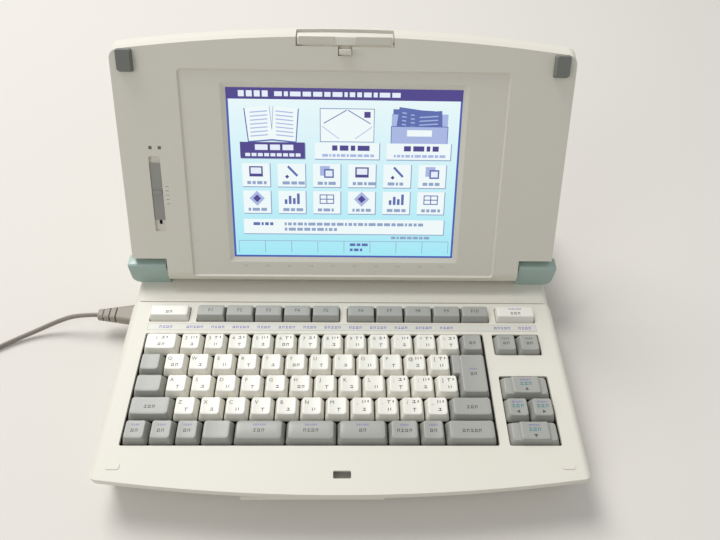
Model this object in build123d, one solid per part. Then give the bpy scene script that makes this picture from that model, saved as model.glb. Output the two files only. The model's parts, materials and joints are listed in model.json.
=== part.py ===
from build123d import *
import math
import os

# Electronic word processor: a flat base with a keyboard in front and a printer
# behind, and a lid with a flat screen on two hinge knuckles between them.
# Millimetres. X is to the right, Y to the rear, Z up. The origin is under the middle
# of the base, at the height that the rubber feet stand on.

# ---------------------------------------------------------------- driving sizes
# keyboard
PITCH = 19.05            # key to key, both ways
MAIN_COLS = 14.5         # width of the main key block, in keys
MAIN_ROWS = 5
HOLE_GAP = 1.0           # from the main key block to the edge of its opening
PAD_GAP = 0.45           # the same at the small openings
WEB = 7.4                # case between the main opening and the cursor opening
SIDE_MARGIN = 17.7       # case outside the openings
FRONT_MARGIN = 36.0      # case in front of the openings
STRIP_GAP = 11.25        # printed strip between the main and function openings
FN_PITCH = 24.1          # function key to function key
FN_DEPTH = 15.1          # depth of the function openings
FN_SPLIT = 5.4           # case between the two groups of five
END_WIDTH = 33.6         # opening of the power and paper feed keys
REAR_RIM = 5.1           # case behind the function openings
KEY_GAP = 0.85           # between neighbouring caps
KEY_RISE = 5.0           # cap tops above the deck
KEY_SINK = 3.0           # cap skirts below the deck
KEY_TRAVEL = 3.0
CAP_SLOPE = 2.1          # how far a cap's sides lean in
CAP_WALL = 1.2
STEM = 5.6               # side of a key's square stem
STEM_CLEAR = 0.08        # stem in its guide, each side
STEP_DROP = 2.6          # shoulder of a stepped cap below its top

# base
DECK_HEIGHT = 38.0       # keyboard deck above the table
FOOT_HEIGHT = 3.0
FOOT_R = 6.5
LIP_HEIGHT = 7.0         # visible rim of the upper shell
DECK_STEP = 3.0          # the deck drops by this behind the keyboard
FRONT_RADIUS = 1380.0    # the front edge is a shallow arc
CORNER = 8.0             # plan corners
EDGE_ROUND = 6.5         # rounded long side edges
WALL = 2.5               # shell walls of the base
UNDERCUT_FRONT = 12.0    # how far the lower shell leans in at the front
UNDERCUT_SIDE = 4.0
GRIP_X = (-72.0, 30.0)   # straight finger ledge under the front lip
GRIP_SETBACK = 2.0
HINGE_SETBACK = 28.9     # from the end of the keyboard deck to the hinge axis
HOUSING_SETBACK = 28.0   # from the hinge axis to the printer housing
PRINTER_DEPTH = 84.4

# lid
LID_THICK = 20.0
LID_ANGLE = 120.2        # opening angle in which the part is stored
LID_GAP = 1.0            # closed lid's face to the key caps
FACE_OFFSET = 8.0        # hinge axis behind the lid's face
LID_SETBACK = 5.6        # lid's face stops short of the front edge of the base
LID_INSET = 1.0          # lid's face inside the side of the base
LID_WALL = 2.2
FLARE_TOP = 6.0          # the back shell is wider than the face by these
FLARE_SIDE = 2.5
SCREEN_W = 186.4
SCREEN_H = 139.8
SCREEN_MID = 80.2        # screen centre up the lid from the hinge axis
PANEL_W = 258.0          # sunk panel round the screen
PANEL_LOW = -6.3         # lower edge of the panel, up the lid from the hinge axis
PANEL_H = 170.0
PANEL_SINK = 1.6
WINDOW_BEVEL = 4.0
KNUCKLE_W = 33.1         # width of a hinge knuckle
KNUCKLE_PROUD = 4.5      # it stands out past the side of the base
KNUCKLE_FRONT = 5.1      # knuckle in front of the axis
KNUCKLE_TOP = 6.0        # knuckle above the axis
KNUCKLE_ROUND = 8.8      # its rounded rear, about the axis
NOTCH_UP = 9.2           # lid corner notch, up the lid from the axis
NOTCH_GAP = 0.9          # beside the knuckle
PIN_R = 2.5
LATCH_W = 74.0
HOOK_W = 9.0
HOOK_T = 2.2
HOOK_BARB = 1.4
SLOT_W = 12.8            # latch slot in the base
SLOT_D = 5.7
SLOT_UP = 179.05         # middle of the slot, from the hinge axis
BUMPER_H = 5.2
BUMPER_INSET = 13.0      # rubber bumpers of the lid inside the side of the base
REST_PAD_INSET = 17.0    # pads on the deck that they land on, the same way
BEZEL_DEPTH = 6.0        # front bezel's share of the lid's thickness
TAPER_DEPTH = 6.0        # the back shell draws in again over this depth,
TAPER_SIDE = 4.0         # by this much at each side
TAPER_TOP = 4.5          # and by this much at the top
LOW_ROUND_UP = -2.5      # middle of the lid's half-round lower end
BEARING_R = 6.0          # hinge bearings of the back shell
BEARING_LEN = 13.0
REST_PAD_H = 0.5

# contrast slider in the lid, measured up the lid from the hinge axis
SLIDER_INSET = 27.5      # its middle inside the side of the base
SLIDER_W = 9.0
SLIDER_LOW = 33.2
SLIDER_LEN = 63.0
KNOB_LEN = 47.0
KNOB_START = 10.0        # knob above the lower end of its slot, as stored
KNOB_SINK = 0.6          # knob's plate below the lid's face
RIDGE_CLEAR = 0.4        # closed lid's knob ridge to the key caps

# power lead
CORD_D = 5.0
INLET_Y = 12.0
INLET_Z = 18.0
COIL_LEAD = 27.5         # from the tube's end to where it touches the coil's outer turn
COIL_OUT_R = 35.6        # middle of the outermost turn, and of the innermost
COIL_IN_R = 20.4
COIL_LAYERS = 2          # of the flat twin lead, on edge
TURN_CLEAR = 2.0         # from the middle of a turn to the side of the coil
TAIL_REACH = 42.0        # the plug's end of the lead, from the middle of the coil
CONNECTOR_WAIST_X = -200.0
PLUG_Z = 6.2
PLUG_LEN = 16.0          # straight part of the plug's body
BLADE_LEN = 16.0
BLADE_PITCH = 12.7
CORD_ROUTE = [
    (-214.0, 12.0, 18.0),
    (-232.0, 12.0, 18.0),
    (-250.0, 8.6, 9.5),
    (-269.0, 2.0, 3.4),
    (-288.0, -6.4, 2.6),
    (-304.0, -16.0, 2.6),
    (-315.0, -29.0, 2.6),
]

FAR = 400.0              # past every piece, for the blocks that cut

# running and seating gaps
RUN_FIT = 0.05           # shaft in a hole, radial
SEAT_GAP = 0.3

# ---------------------------------------------------------------- derived places
MAIN_W = MAIN_COLS * PITCH + 2 * HOLE_GAP
MAIN_D = MAIN_ROWS * PITCH + 2 * HOLE_GAP
PAD_W = 2 * PITCH + 2 * PAD_GAP
BLOCK_W = MAIN_W + WEB + PAD_W
BASE_HALF = BLOCK_W / 2 + SIDE_MARGIN
LID_HALF = BASE_HALF - LID_INSET
KNUCKLE_OUT = BASE_HALF + KNUCKLE_PROUD
KNUCKLE_IN = KNUCKLE_OUT - KNUCKLE_W
NOTCH_IN = KNUCKLE_IN - NOTCH_GAP
SLIDER_X = SLIDER_INSET - BASE_HALF
FN_OFFSET = MAIN_D + STRIP_GAP
DECK_LENGTH = FRONT_MARGIN + FN_OFFSET + FN_DEPTH + REAR_RIM
DEPTH = DECK_LENGTH + HINGE_SETBACK + HOUSING_SETBACK + PRINTER_DEPTH
FRONT_Y = -DEPTH / 2
REAR_Y = DEPTH / 2
KEY_Y = FRONT_Y + FRONT_MARGIN
FN_Y = KEY_Y + FN_OFFSET
DECK_END = FRONT_Y + DECK_LENGTH
HINGE_Y = DECK_END + HINGE_SETBACK
HOUSING_Y = HINGE_Y + HOUSING_SETBACK
MAIN_X = -BLOCK_W / 2
PAD_X = BLOCK_W / 2 - PAD_W
SPLIT_Z = DECK_HEIGHT - LIP_HEIGHT
REAR_DECK = DECK_HEIGHT - DECK_STEP
FACE_GAP = KEY_RISE + LID_GAP
HINGE_Z = DECK_HEIGHT + FACE_GAP + FACE_OFFSET
HOUSING_TOP = DECK_HEIGHT + FACE_GAP + LID_THICK
FLOOR_Z = FOOT_HEIGHT + WALL
LID_LENGTH = HINGE_Y - FRONT_Y - LID_SETBACK
LID_BACK = FACE_OFFSET - LID_THICK
LID_SPLIT = FACE_OFFSET - BEZEL_DEPTH
LID_PLACE = Pos(0, HINGE_Y, HINGE_Z) * Rot(180 - LID_ANGLE, 0, 0)

# key unit, heights below the deck
FRAME_TOP = DECK_HEIGHT - KEY_SINK - KEY_TRAVEL - 0.5
FRAME_T = 1.5
FRAME_LOW = FRAME_TOP - FRAME_T
DOME_H = 3.4
DOME_GAP = 0.3
STEM_LOW = FRAME_LOW - DOME_GAP
SHEET_TOP = STEM_LOW - DOME_GAP - DOME_H
SHEET_T = 0.6
MEMBRANE_T = 0.4
PLATE_T = 1.0
PLATE_LOW = SHEET_TOP - SHEET_T - MEMBRANE_T - PLATE_T
UNIT_X = BLOCK_W / 2 + 2.0
UNIT_Y0 = KEY_Y - 2.0
UNIT_Y1 = FN_Y + FN_DEPTH + 2.0

PARTS = {}


# ---------------------------------------------------------------- small tools
def block(x0, x1, y0, y1, z0, z1):
    """A plain box between two corners."""
    box = Box(x1 - x0, y1 - y0, z1 - z0)
    return Pos((x0 + x1) / 2, (y0 + y1) / 2, (z0 + z1) / 2) * box


def soft_block(x0, x1, y0, y1, z0, z1, r):
    """A box with rounded upright corners."""
    plan = RectangleRounded(x1 - x0, y1 - y0, r)
    return Pos((x0 + x1) / 2, (y0 + y1) / 2, z0) * extrude(plan, z1 - z0)


def post(x, y, z0, z1, r):
    """An upright round post."""
    return Pos(x, y, (z0 + z1) / 2) * Cylinder(r, z1 - z0)


def bar_x(x0, x1, y, z, r):
    """A round bar along X."""
    return Pos((x0 + x1) / 2, y, z) * Rot(0, 90, 0) * Cylinder(r, x1 - x0)


def prism_x(points, x0, x1):
    """An outline of (y, z) points, drawn out along X."""
    face = make_face(Polyline(*[(0, y, z) for y, z in points], close=True))
    return Pos(x0, 0, 0) * extrude(face, x1 - x0, dir=(1, 0, 0))


def sagitta(half):
    """How far the front arc has fallen back at a half width."""
    return FRONT_RADIUS - math.sqrt(FRONT_RADIUS ** 2 - half ** 2)


def keep(name, *solids):
    """Name a finished piece, or a group of like pieces."""
    found = []
    for solid in solids:
        found.extend(solid.solids())
    PARTS[name] = Compound(children=found) if len(found) > 1 else found[0]


# ---------------------------------------------------------------- base shells
def base_plan(side, front, y_end, corner=CORNER):
    """Plan of the base, drawn in by side and front, with an arc in front."""
    half = BASE_HALF - side
    y_front = FRONT_Y + front
    y_side = y_front + sagitta(half)
    arc = ThreePointArc((-half, y_side), (0, y_front), (half, y_side))
    rest = Polyline((half, y_side), (half, y_end), (-half, y_end), (-half, y_side))
    face = make_face([arc.edge()] + rest.edges())
    return fillet(face.vertices(), corner)


def side_profile(top, inset, y0, y1):
    """Cross-section of the base with rounded long edges, drawn out along Y."""
    half = BASE_HALF - inset
    low = FOOT_HEIGHT - 1
    blank = block(-half, half, y0, y1, low, top)
    edges = [e for e in blank.edges().filter_by(Axis.Y) if e.center().Z > top - 1]
    return fillet(edges, EDGE_ROUND)


def upper_body(inset, drop, low):
    """Outer or inner form of the upper shell: raised key deck and lower rear deck."""
    reach = DEPTH
    key_deck = Pos(0, 0, low) * extrude(base_plan(inset, inset, DECK_END - inset), reach)
    key_deck = key_deck & side_profile(DECK_HEIGHT - drop, inset, -reach, reach)
    rear_end = HOUSING_Y + (1 if drop else 0)
    rear_deck = Pos(0, 0, low) * extrude(base_plan(inset, inset, REAR_Y), reach)
    rear_deck = rear_deck & side_profile(REAR_DECK - drop, inset, -reach, reach)
    rear_deck = rear_deck & block(-reach, reach, -reach, rear_end, 0, reach)
    return key_deck + rear_deck


SCREW_SPOTS = [(sx * (BASE_HALF - 60), y) for sx in (-1, 1) for y in (KEY_Y - 10, HINGE_Y - 12)]
REAR_SCREWS = [(sx * (BASE_HALF - 30), REAR_Y - 14) for sx in (-1, 1)]
BOSS_MEET = 16.0
BOSS_R = 3.6
SCREW_R = 1.4
HEAD_R = 2.8


def make_top_case():
    shell = upper_body(0, 0, SPLIT_Z) - upper_body(WALL, WALL, SPLIT_Z - 1)
    high = DECK_HEIGHT + 5
    low = DECK_HEIGHT - WALL - 1
    openings = [
        (MAIN_X, MAIN_X + MAIN_W, KEY_Y, KEY_Y + MAIN_D),
        (PAD_X, PAD_X + PAD_W, KEY_Y, KEY_Y + 3 * PITCH + 2 * PAD_GAP),
        (PAD_X, PAD_X + PAD_W, KEY_Y + 4 * PITCH + 2 * HOLE_GAP - 2 * PAD_GAP, KEY_Y + MAIN_D),
    ]
    group = 5 * FN_PITCH
    for side in (-1, 1):
        for x0, x1 in ((FN_SPLIT / 2, FN_SPLIT / 2 + group), (BLOCK_W / 2 - END_WIDTH, BLOCK_W / 2)):
            pair = sorted((side * x0, side * x1))
            openings.append((pair[0], pair[1], FN_Y, FN_Y + FN_DEPTH))
    for x0, x1, y0, y1 in openings:
        shell = shell - soft_block(x0, x1, y0, y1, low, high, 1.6)
    slot_y = HINGE_Y - SLOT_UP
    shell = shell - soft_block(-SLOT_W / 2, SLOT_W / 2, slot_y - SLOT_D / 2, slot_y + SLOT_D / 2,
                               low, high, 1.0)
    for side in (-1, 1):
        pad = soft_block(-5.1, 5.1, -2.4, 2.4, 0, REST_PAD_H + 0.5, 2.0)
        pad_x = side * (BASE_HALF - REST_PAD_INSET)
        shell = shell + Pos(pad_x, HINGE_Y - BUMPER_UP, DECK_HEIGHT - 0.5) * pad
    for x, y in SCREW_SPOTS:
        roof = DECK_HEIGHT if y < DECK_END else REAR_DECK
        shell = shell + post(x, y, BOSS_MEET, roof - WALL / 2, BOSS_R)
        shell = shell - post(x, y, BOSS_MEET - 1, roof - WALL - 3, SCREW_R + RUN_FIT)
    keep("top_case", shell)


def bottom_form(wall):
    """The lower shell's outer form, or its hollow: it leans in towards the table."""
    top_in = 1.0 + wall
    low_z = FOOT_HEIGHT + wall
    upper = Pos(0, 0, SPLIT_Z) * base_plan(top_in, top_in, REAR_Y - top_in)
    lower = base_plan(UNDERCUT_SIDE + wall, UNDERCUT_FRONT + wall, REAR_Y - UNDERCUT_SIDE - wall)
    return loft([Pos(0, 0, low_z) * lower, upper], ruled=True)


def make_bottom_case():
    shell = bottom_form(0) - bottom_form(WALL)
    for x, y in SCREW_SPOTS + REAR_SCREWS:
        shell = shell + post(x, y, FLOOR_Z - 1, BOSS_MEET, BOSS_R + 1.4)
        shell = shell - post(x, y, 0, BOSS_MEET + 1, SCREW_R + RUN_FIT)
        shell = shell - post(x, y, 0, FOOT_HEIGHT + 3, HEAD_R + 0.3)
    for x, y in KEY_POSTS:
        shell = shell + post(x, y, FLOOR_Z - 1, PLATE_LOW, 4)
    for x, y in BOARD_POSTS:
        shell = shell + post(x, y, FLOOR_Z - 1, BOARD_Z, 3)
    for x, y in CHASSIS_POSTS:
        shell = shell + post(x, y, FLOOR_Z - 1, CHASSIS_Z, 4)
    grip = block(GRIP_X[0], GRIP_X[1], FRONT_Y + GRIP_SETBACK, FRONT_Y + GRIP_SETBACK + 6,
                 SPLIT_Z - 8, SPLIT_Z - 3)
    shell = shell + grip
    mouth = block(-BASE_HALF - 5, INLET_FACE + 8, INLET_Y - INLET_W / 2, INLET_Y + INLET_W / 2,
                  INLET_Z - INLET_H / 2, INLET_Z + INLET_H / 2)
    seat = block(INLET_FACE + 2, INLET_FACE + 16, INLET_Y - 6, INLET_Y + 6, FLOOR_Z - 1,
                 INLET_Z - INLET_H / 2)
    keep("bottom_case", (shell + seat) - mouth)


HOUSING_INSET = 1.2
COVER_HALF = 132.0
COVER_Y0 = HOUSING_Y + 12.0
COVER_Y1 = REAR_Y - 14.0
COVER_T = 2.4
COVER_PIN_R = 1.5
COVER_BARREL_R = 3.2
COVER_AXIS_Y = COVER_Y0 + COVER_BARREL_R + 0.4
COVER_AXIS_Z = HOUSING_TOP - COVER_BARREL_R


def make_printer_housing():
    reach = DEPTH
    inner_low = SPLIT_Z - 1
    plan = base_plan(HOUSING_INSET, 0, REAR_Y)
    hollow_plan = base_plan(HOUSING_INSET + WALL, 0, REAR_Y - WALL)
    outer = Pos(0, 0, SPLIT_Z) * extrude(plan, reach)
    outer = outer & side_profile(HOUSING_TOP, HOUSING_INSET, -reach, reach)
    outer = outer & block(-reach, reach, HOUSING_Y, reach, 0, reach)
    hollow = Pos(0, 0, inner_low) * extrude(hollow_plan, reach)
    hollow = hollow & side_profile(HOUSING_TOP - WALL, HOUSING_INSET + WALL, -reach, reach)
    hollow = hollow & block(-reach, reach, HOUSING_Y + WALL, reach, 0, reach)
    shell = outer - hollow
    shell = shell - block(-COVER_HALF, COVER_HALF, COVER_Y0, COVER_Y1, HOUSING_TOP - WALL - 2,
                          HOUSING_TOP + 1)
    for side in (-1, 1):
        near = side * (COVER_HALF - 0.01)
        far = side * (COVER_HALF + 5.0)
        x0, x1 = sorted((near, far))
        ear = block(x0, x1, COVER_AXIS_Y - 4, COVER_AXIS_Y + 4, COVER_AXIS_Z - 4, HOUSING_TOP - 0.5)
        shell = shell + ear
        hole = bar_x(x0 - 1, x1 - 1.5, COVER_AXIS_Y, COVER_AXIS_Z, COVER_PIN_R + RUN_FIT)
        if side < 0:
            hole = bar_x(x0 + 1.5, x1 + 1, COVER_AXIS_Y, COVER_AXIS_Z, COVER_PIN_R + RUN_FIT)
        shell = shell - hole
    for x, y in REAR_SCREWS:
        shell = shell + post(x, y, BOSS_MEET, HOUSING_TOP - WALL / 2, BOSS_R)
        shell = shell - post(x, y, BOSS_MEET - 1, BOSS_MEET + 14, SCREW_R + RUN_FIT)
    keep("printer_housing", shell)


def make_printer_cover():
    """Lifting cover over the printer, with the paper slot near its rear edge."""
    gap = 0.5
    half = COVER_HALF - gap
    plate = block(-half, half, COVER_AXIS_Y, COVER_Y1 - gap, HOUSING_TOP - COVER_T, HOUSING_TOP)
    plate = plate - soft_block(-PAPER_W / 2, PAPER_W / 2, COVER_Y1 - 16, COVER_Y1 - 8,
                               HOUSING_TOP - 5, HOUSING_TOP + 1, 3.0)
    barrel = bar_x(-half, half, COVER_AXIS_Y, COVER_AXIS_Z, COVER_BARREL_R)
    pins = bar_x(-COVER_HALF - 3, COVER_HALF + 3, COVER_AXIS_Y, COVER_AXIS_Z, COVER_PIN_R)
    finger = soft_block(-22, 22, COVER_Y1 - 6, COVER_Y1 - 3, HOUSING_TOP - 0.5,
                        HOUSING_TOP + 0.8, 1.0)
    keep("printer_cover", plate + barrel + pins + finger)


def make_feet_and_screws():
    feet = []
    for side in (-1, 1):
        feet.append(post(side * (BASE_HALF - 42), FRONT_Y + 38, 0, FOOT_HEIGHT, FOOT_R))
        feet.append(post(side * (BASE_HALF - 30), REAR_Y - 32, 0, FOOT_HEIGHT, FOOT_R))
    keep("rubber_feet", *feet)
    screws = []
    for x, y in SCREW_SPOTS + REAR_SCREWS:
        head = post(x, y, FOOT_HEIGHT + 0.8, FOOT_HEIGHT + 3, HEAD_R)
        cross = block(-1.8, 1.8, -0.4, 0.4, 0, 1.2) + block(-0.4, 0.4, -1.8, 1.8, 0, 1.2)
        shank = post(x, y, FOOT_HEIGHT + 2.5, BOSS_MEET + 11, SCREW_R)
        screws.append(head + shank - Pos(x, y, FOOT_HEIGHT + 0.6) * cross)
    keep("case_screws", *screws)


# ---------------------------------------------------------------- keys
def cap(width, depth, top_gap=0.0, rise=KEY_RISE, stem=True):
    """One hollow key cap about its own middle, at rest height, with its square stem."""
    low = DECK_HEIGHT - KEY_SINK
    high = DECK_HEIGHT + rise
    skirt = Pos(0, 0, low) * RectangleRounded(width, depth, 1.2)
    lean = 2 * CAP_SLOPE + 2 * top_gap
    crown = Pos(0, 0.2, high) * RectangleRounded(width - lean, depth - lean + 0.2, 2.0)
    body = loft([skirt, crown], ruled=True)
    inner_skirt = Pos(0, 0, low) * RectangleRounded(width - 2 * CAP_WALL, depth - 2 * CAP_WALL, 0.8)
    inner_crown = Pos(0, 0.2, high - CAP_WALL) * RectangleRounded(
        width - lean - 2 * CAP_WALL, depth - lean - 2 * CAP_WALL, 1.0)
    body = body - loft([inner_skirt, inner_crown], ruled=True)
    if stem:
        half = STEM / 2
        body = body + block(-half, half, -half, half, STEM_LOW, high - CAP_WALL / 2)
    return body


def stepped_cap(width, depth, raised):
    """A cap with a low shoulder at each end and a raised middle."""
    low = cap(width, depth, 0.0, KEY_RISE - STEP_DROP)
    crown_d = depth - 2 * CAP_SLOPE
    foot = Pos(0, 0.2, DECK_HEIGHT + KEY_RISE - STEP_DROP - 0.6) * RectangleRounded(
        raised, crown_d, 1.6)
    head = Pos(0, 0.2, DECK_HEIGHT + KEY_RISE) * RectangleRounded(raised - 2, crown_d - 1, 1.6)
    return low + loft([foot, head], ruled=True)


def enter_cap():
    """Two keys deep, with a low shoulder to the left of its rear half."""
    width = 1.25 * PITCH - KEY_GAP
    depth = 2 * PITCH - KEY_GAP
    body = cap(width, depth)
    shoulder_x = -(width / 2 + 0.25 * PITCH)
    shoulder = soft_block(shoulder_x, -width / 2 + 1.0, KEY_GAP / 2, depth / 2,
                          DECK_HEIGHT - KEY_SINK, DECK_HEIGHT + KEY_RISE - STEP_DROP, 0.6)
    return body + shoulder


KEY_SPOTS = []           # (x, y) of every stem, in order of making


def place_caps(name, x, row_y, widths, depth=PITCH, gap=KEY_GAP, step=PITCH):
    """A run of caps from a left edge, with widths in pitches."""
    caps = []
    for units in widths:
        width = units * step
        spot = (x + width / 2, row_y + depth / 2)
        caps.append(Pos(spot[0], spot[1], 0) * cap(width - gap, depth - gap))
        KEY_SPOTS.append(spot)
        x += width
    keep(name, *caps)


def make_keys():
    left = MAIN_X + HOLE_GAP
    rows = [KEY_Y + HOLE_GAP + i * PITCH for i in range(MAIN_ROWS)]
    place_caps("number_row_keys", left, rows[4], [1.5] + [1] * 13)
    place_caps("upper_letter_keys", left, rows[3], [1] * 13)
    place_caps("home_letter_keys", left, rows[2], [1.25] + [1] * 12)
    place_caps("shift_key_left", left, rows[1], [1.75])
    place_caps("lower_letter_keys", left + 1.75 * PITCH, rows[1], [1] * 11)
    place_caps("shift_key_right", left + 12.75 * PITCH, rows[1], [1.75])
    place_caps("space_keys", left + 4.25 * PITCH, rows[0], [2, 2, 2])
    place_caps("confirm_key", left + 12.5 * PITCH, rows[0], [2])
    place_caps("bottom_left", left, rows[0], [1, 1, 1, 1.25])
    place_caps("bottom_right", left + 10.25 * PITCH, rows[0], [1.25, 1])
    keep("bottom_row_keys", PARTS.pop("bottom_left"), PARTS.pop("bottom_right"))
    enter_spot = (left + (14.5 - 0.625) * PITCH, rows[2] + PITCH)
    KEY_SPOTS.append(enter_spot)
    keep("enter_key", Pos(enter_spot[0], enter_spot[1], 0) * enter_cap())

    pad = PAD_X + PAD_GAP
    place_caps("insert_key", pad, rows[4], [1])
    place_caps("delete_key", pad + PITCH, rows[4], [1])
    pad_y = KEY_Y + PAD_GAP
    place_caps("left_key", pad, pad_y + PITCH, [1])
    place_caps("right_key", pad + PITCH, pad_y + PITCH, [1])
    for name, row in (("down_key", 0), ("up_key", 2)):
        spot = (pad + PITCH, pad_y + (row + 0.5) * PITCH)
        KEY_SPOTS.append(spot)
        wide = stepped_cap(2 * PITCH - KEY_GAP, PITCH - KEY_GAP, 1.15 * PITCH)
        keep(name, Pos(spot[0], spot[1], 0) * wide)

    end = END_WIDTH / PITCH
    inner = FN_SPLIT / 2
    place_caps("power_key", -BLOCK_W / 2, FN_Y, [end], FN_DEPTH)
    place_caps("function_keys_left", -inner - 5 * FN_PITCH, FN_Y, [1] * 5, FN_DEPTH, step=FN_PITCH)
    place_caps("function_keys_right", inner, FN_Y, [1] * 5, FN_DEPTH, step=FN_PITCH)
    place_caps("paper_feed_key", BLOCK_W / 2 - END_WIDTH, FN_Y, [end], FN_DEPTH)


def make_key_unit():
    """Guide frame, rubber domes, contact sheets and steel plate under the keys."""
    rim = 2.0
    plate = block(-UNIT_X, UNIT_X, UNIT_Y0, UNIT_Y1, FRAME_LOW, FRAME_TOP)
    skirt = block(-UNIT_X, UNIT_X, UNIT_Y0, UNIT_Y1, SHEET_TOP, FRAME_LOW)
    skirt = skirt - block(-UNIT_X + rim, UNIT_X - rim, UNIT_Y0 + rim, UNIT_Y1 - rim,
                          SHEET_TOP - 1, FRAME_LOW + 1)
    # a stepped cap's shoulder still clears the guides when it is pressed
    guide_top = DECK_HEIGHT + KEY_RISE - STEP_DROP - CAP_WALL - KEY_TRAVEL - SEAT_GAP
    half = STEM / 2 + STEM_CLEAR
    outer = half + 1.1
    guides = []
    holes = []
    domes = []
    for x, y in KEY_SPOTS:
        guides.append(block(x - outer, x + outer, y - outer, y + outer, FRAME_TOP - 0.5, guide_top))
        holes.append(block(x - half, x + half, y - half, y + half, FRAME_LOW - 1, guide_top + 1))
        dome = Cone(3.6, 2.0, DOME_H + 0.2)
        domes.append(Pos(x, y, SHEET_TOP + DOME_H / 2 - 0.1) * dome)
    frame = (plate + skirt + guides) - holes
    keep("key_frame", frame)
    sheet = block(-UNIT_X, UNIT_X, UNIT_Y0, UNIT_Y1, SHEET_TOP - SHEET_T, SHEET_TOP)
    keep("dome_sheet", sheet + domes)
    low = SHEET_TOP - SHEET_T
    keep("membrane_circuit", block(-UNIT_X, UNIT_X, UNIT_Y0, UNIT_Y1, low - MEMBRANE_T, low))
    low = low - MEMBRANE_T
    keep("key_base_plate", block(-UNIT_X, UNIT_X, UNIT_Y0, UNIT_Y1, low - PLATE_T, low))


KEY_POSTS = [(x, y) for x in (-UNIT_X + 8, UNIT_X - 8) for y in (UNIT_Y0 + 12, UNIT_Y1 - 12)]
KEY_POSTS += [(0, UNIT_Y0 + 8), (0, UNIT_Y1 - 8)]


# ---------------------------------------------------------------- boards and inlet
BOARD_Z = 11.0
BOARD_T = 1.6
MAIN_BOARD = (-110.0, 130.0, KEY_Y + 18, KEY_Y + 104)
POWER_BOARD = (-106.0, -30.0, UNIT_Y1 + 6, HOUSING_Y - 5)
BOARD_POSTS = [(x, y) for x0, x1, y0, y1 in (MAIN_BOARD, POWER_BOARD)
               for x in (x0 + 5, x1 - 5) for y in (y0 + 5, y1 - 5)]
INLET_W = 24.0
INLET_H = 10.0
INLET_SINK = 2.6         # inlet's face inside the side of the base
INLET_FACE = INLET_SINK - BASE_HALF
LOBE_R = 3.7
LOBE_PITCH = 8.6
CONTACT_R = 1.2


def figure_eight(r, depth):
    """The two-lobed outline of a small appliance connector, drawn out along X."""
    plan = SlotCenterToCenter(LOBE_PITCH, r * 2)
    return Plane(origin=(0, 0, 0), x_dir=(0, 1, 0), z_dir=(1, 0, 0)) * extrude(plan, depth)


def make_boards():
    x0, x1, y0, y1 = MAIN_BOARD
    top = BOARD_Z + BOARD_T
    board = block(x0, x1, y0, y1, BOARD_Z, top)
    chips = [(-70, 40, 28, 28, 3), (-20, 36, 22, 40, 3), (20, 36, 14, 38, 3), (44, 36, 14, 38, 3),
             (-70, 75, 40, 10, 5), (70, 65, 36, 16, 6), (95, 30, 24, 24, 3)]
    for cx, cy, w, d, h in chips:
        board = board + block(cx - w / 2, cx + w / 2, y0 + cy - d / 2, y0 + cy + d / 2,
                              top - 0.4, top + h)
    keep("main_board", board)
    x0, x1, y0, y1 = POWER_BOARD
    power = block(x0, x1, y0, y1, BOARD_Z, top)
    mid = (y0 + y1) / 2
    power = power + block(x0 + 14, x0 + 40, mid - 12, mid + 12, top - 0.4, top + 14)
    for i in range(3):
        power = power + post(x0 + 50, y0 + 12 + i * 15, top - 0.4, top + 12, 4.5)
    keep("power_board", power)
    length = 18.0
    inlet = block(INLET_FACE, INLET_FACE + length, INLET_Y - INLET_W / 2 + 0.2,
                  INLET_Y + INLET_W / 2 - 0.2, INLET_Z - INLET_H / 2, INLET_Z + INLET_H / 2 - 0.2)
    socket = Pos(INLET_FACE - 1, INLET_Y, INLET_Z) * figure_eight(LOBE_R + 0.15, 13)
    inlet = inlet - socket
    for side in (-1, 1):
        inlet = inlet + bar_x(INLET_FACE + 2, INLET_FACE + 14, INLET_Y + side * LOBE_PITCH / 2,
                              INLET_Z, CONTACT_R)
    keep("ac_inlet", inlet)


# ---------------------------------------------------------------- power lead
def cross_section(x, y, z, width, height, r):
    """A rounded rectangle that faces -X, as a section of a moulded connector or plug."""
    plane = Plane(origin=(x, y, z), x_dir=(0, 1, 0), z_dir=(-1, 0, 0))
    return plane * RectangleRounded(width, height, r)


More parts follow.
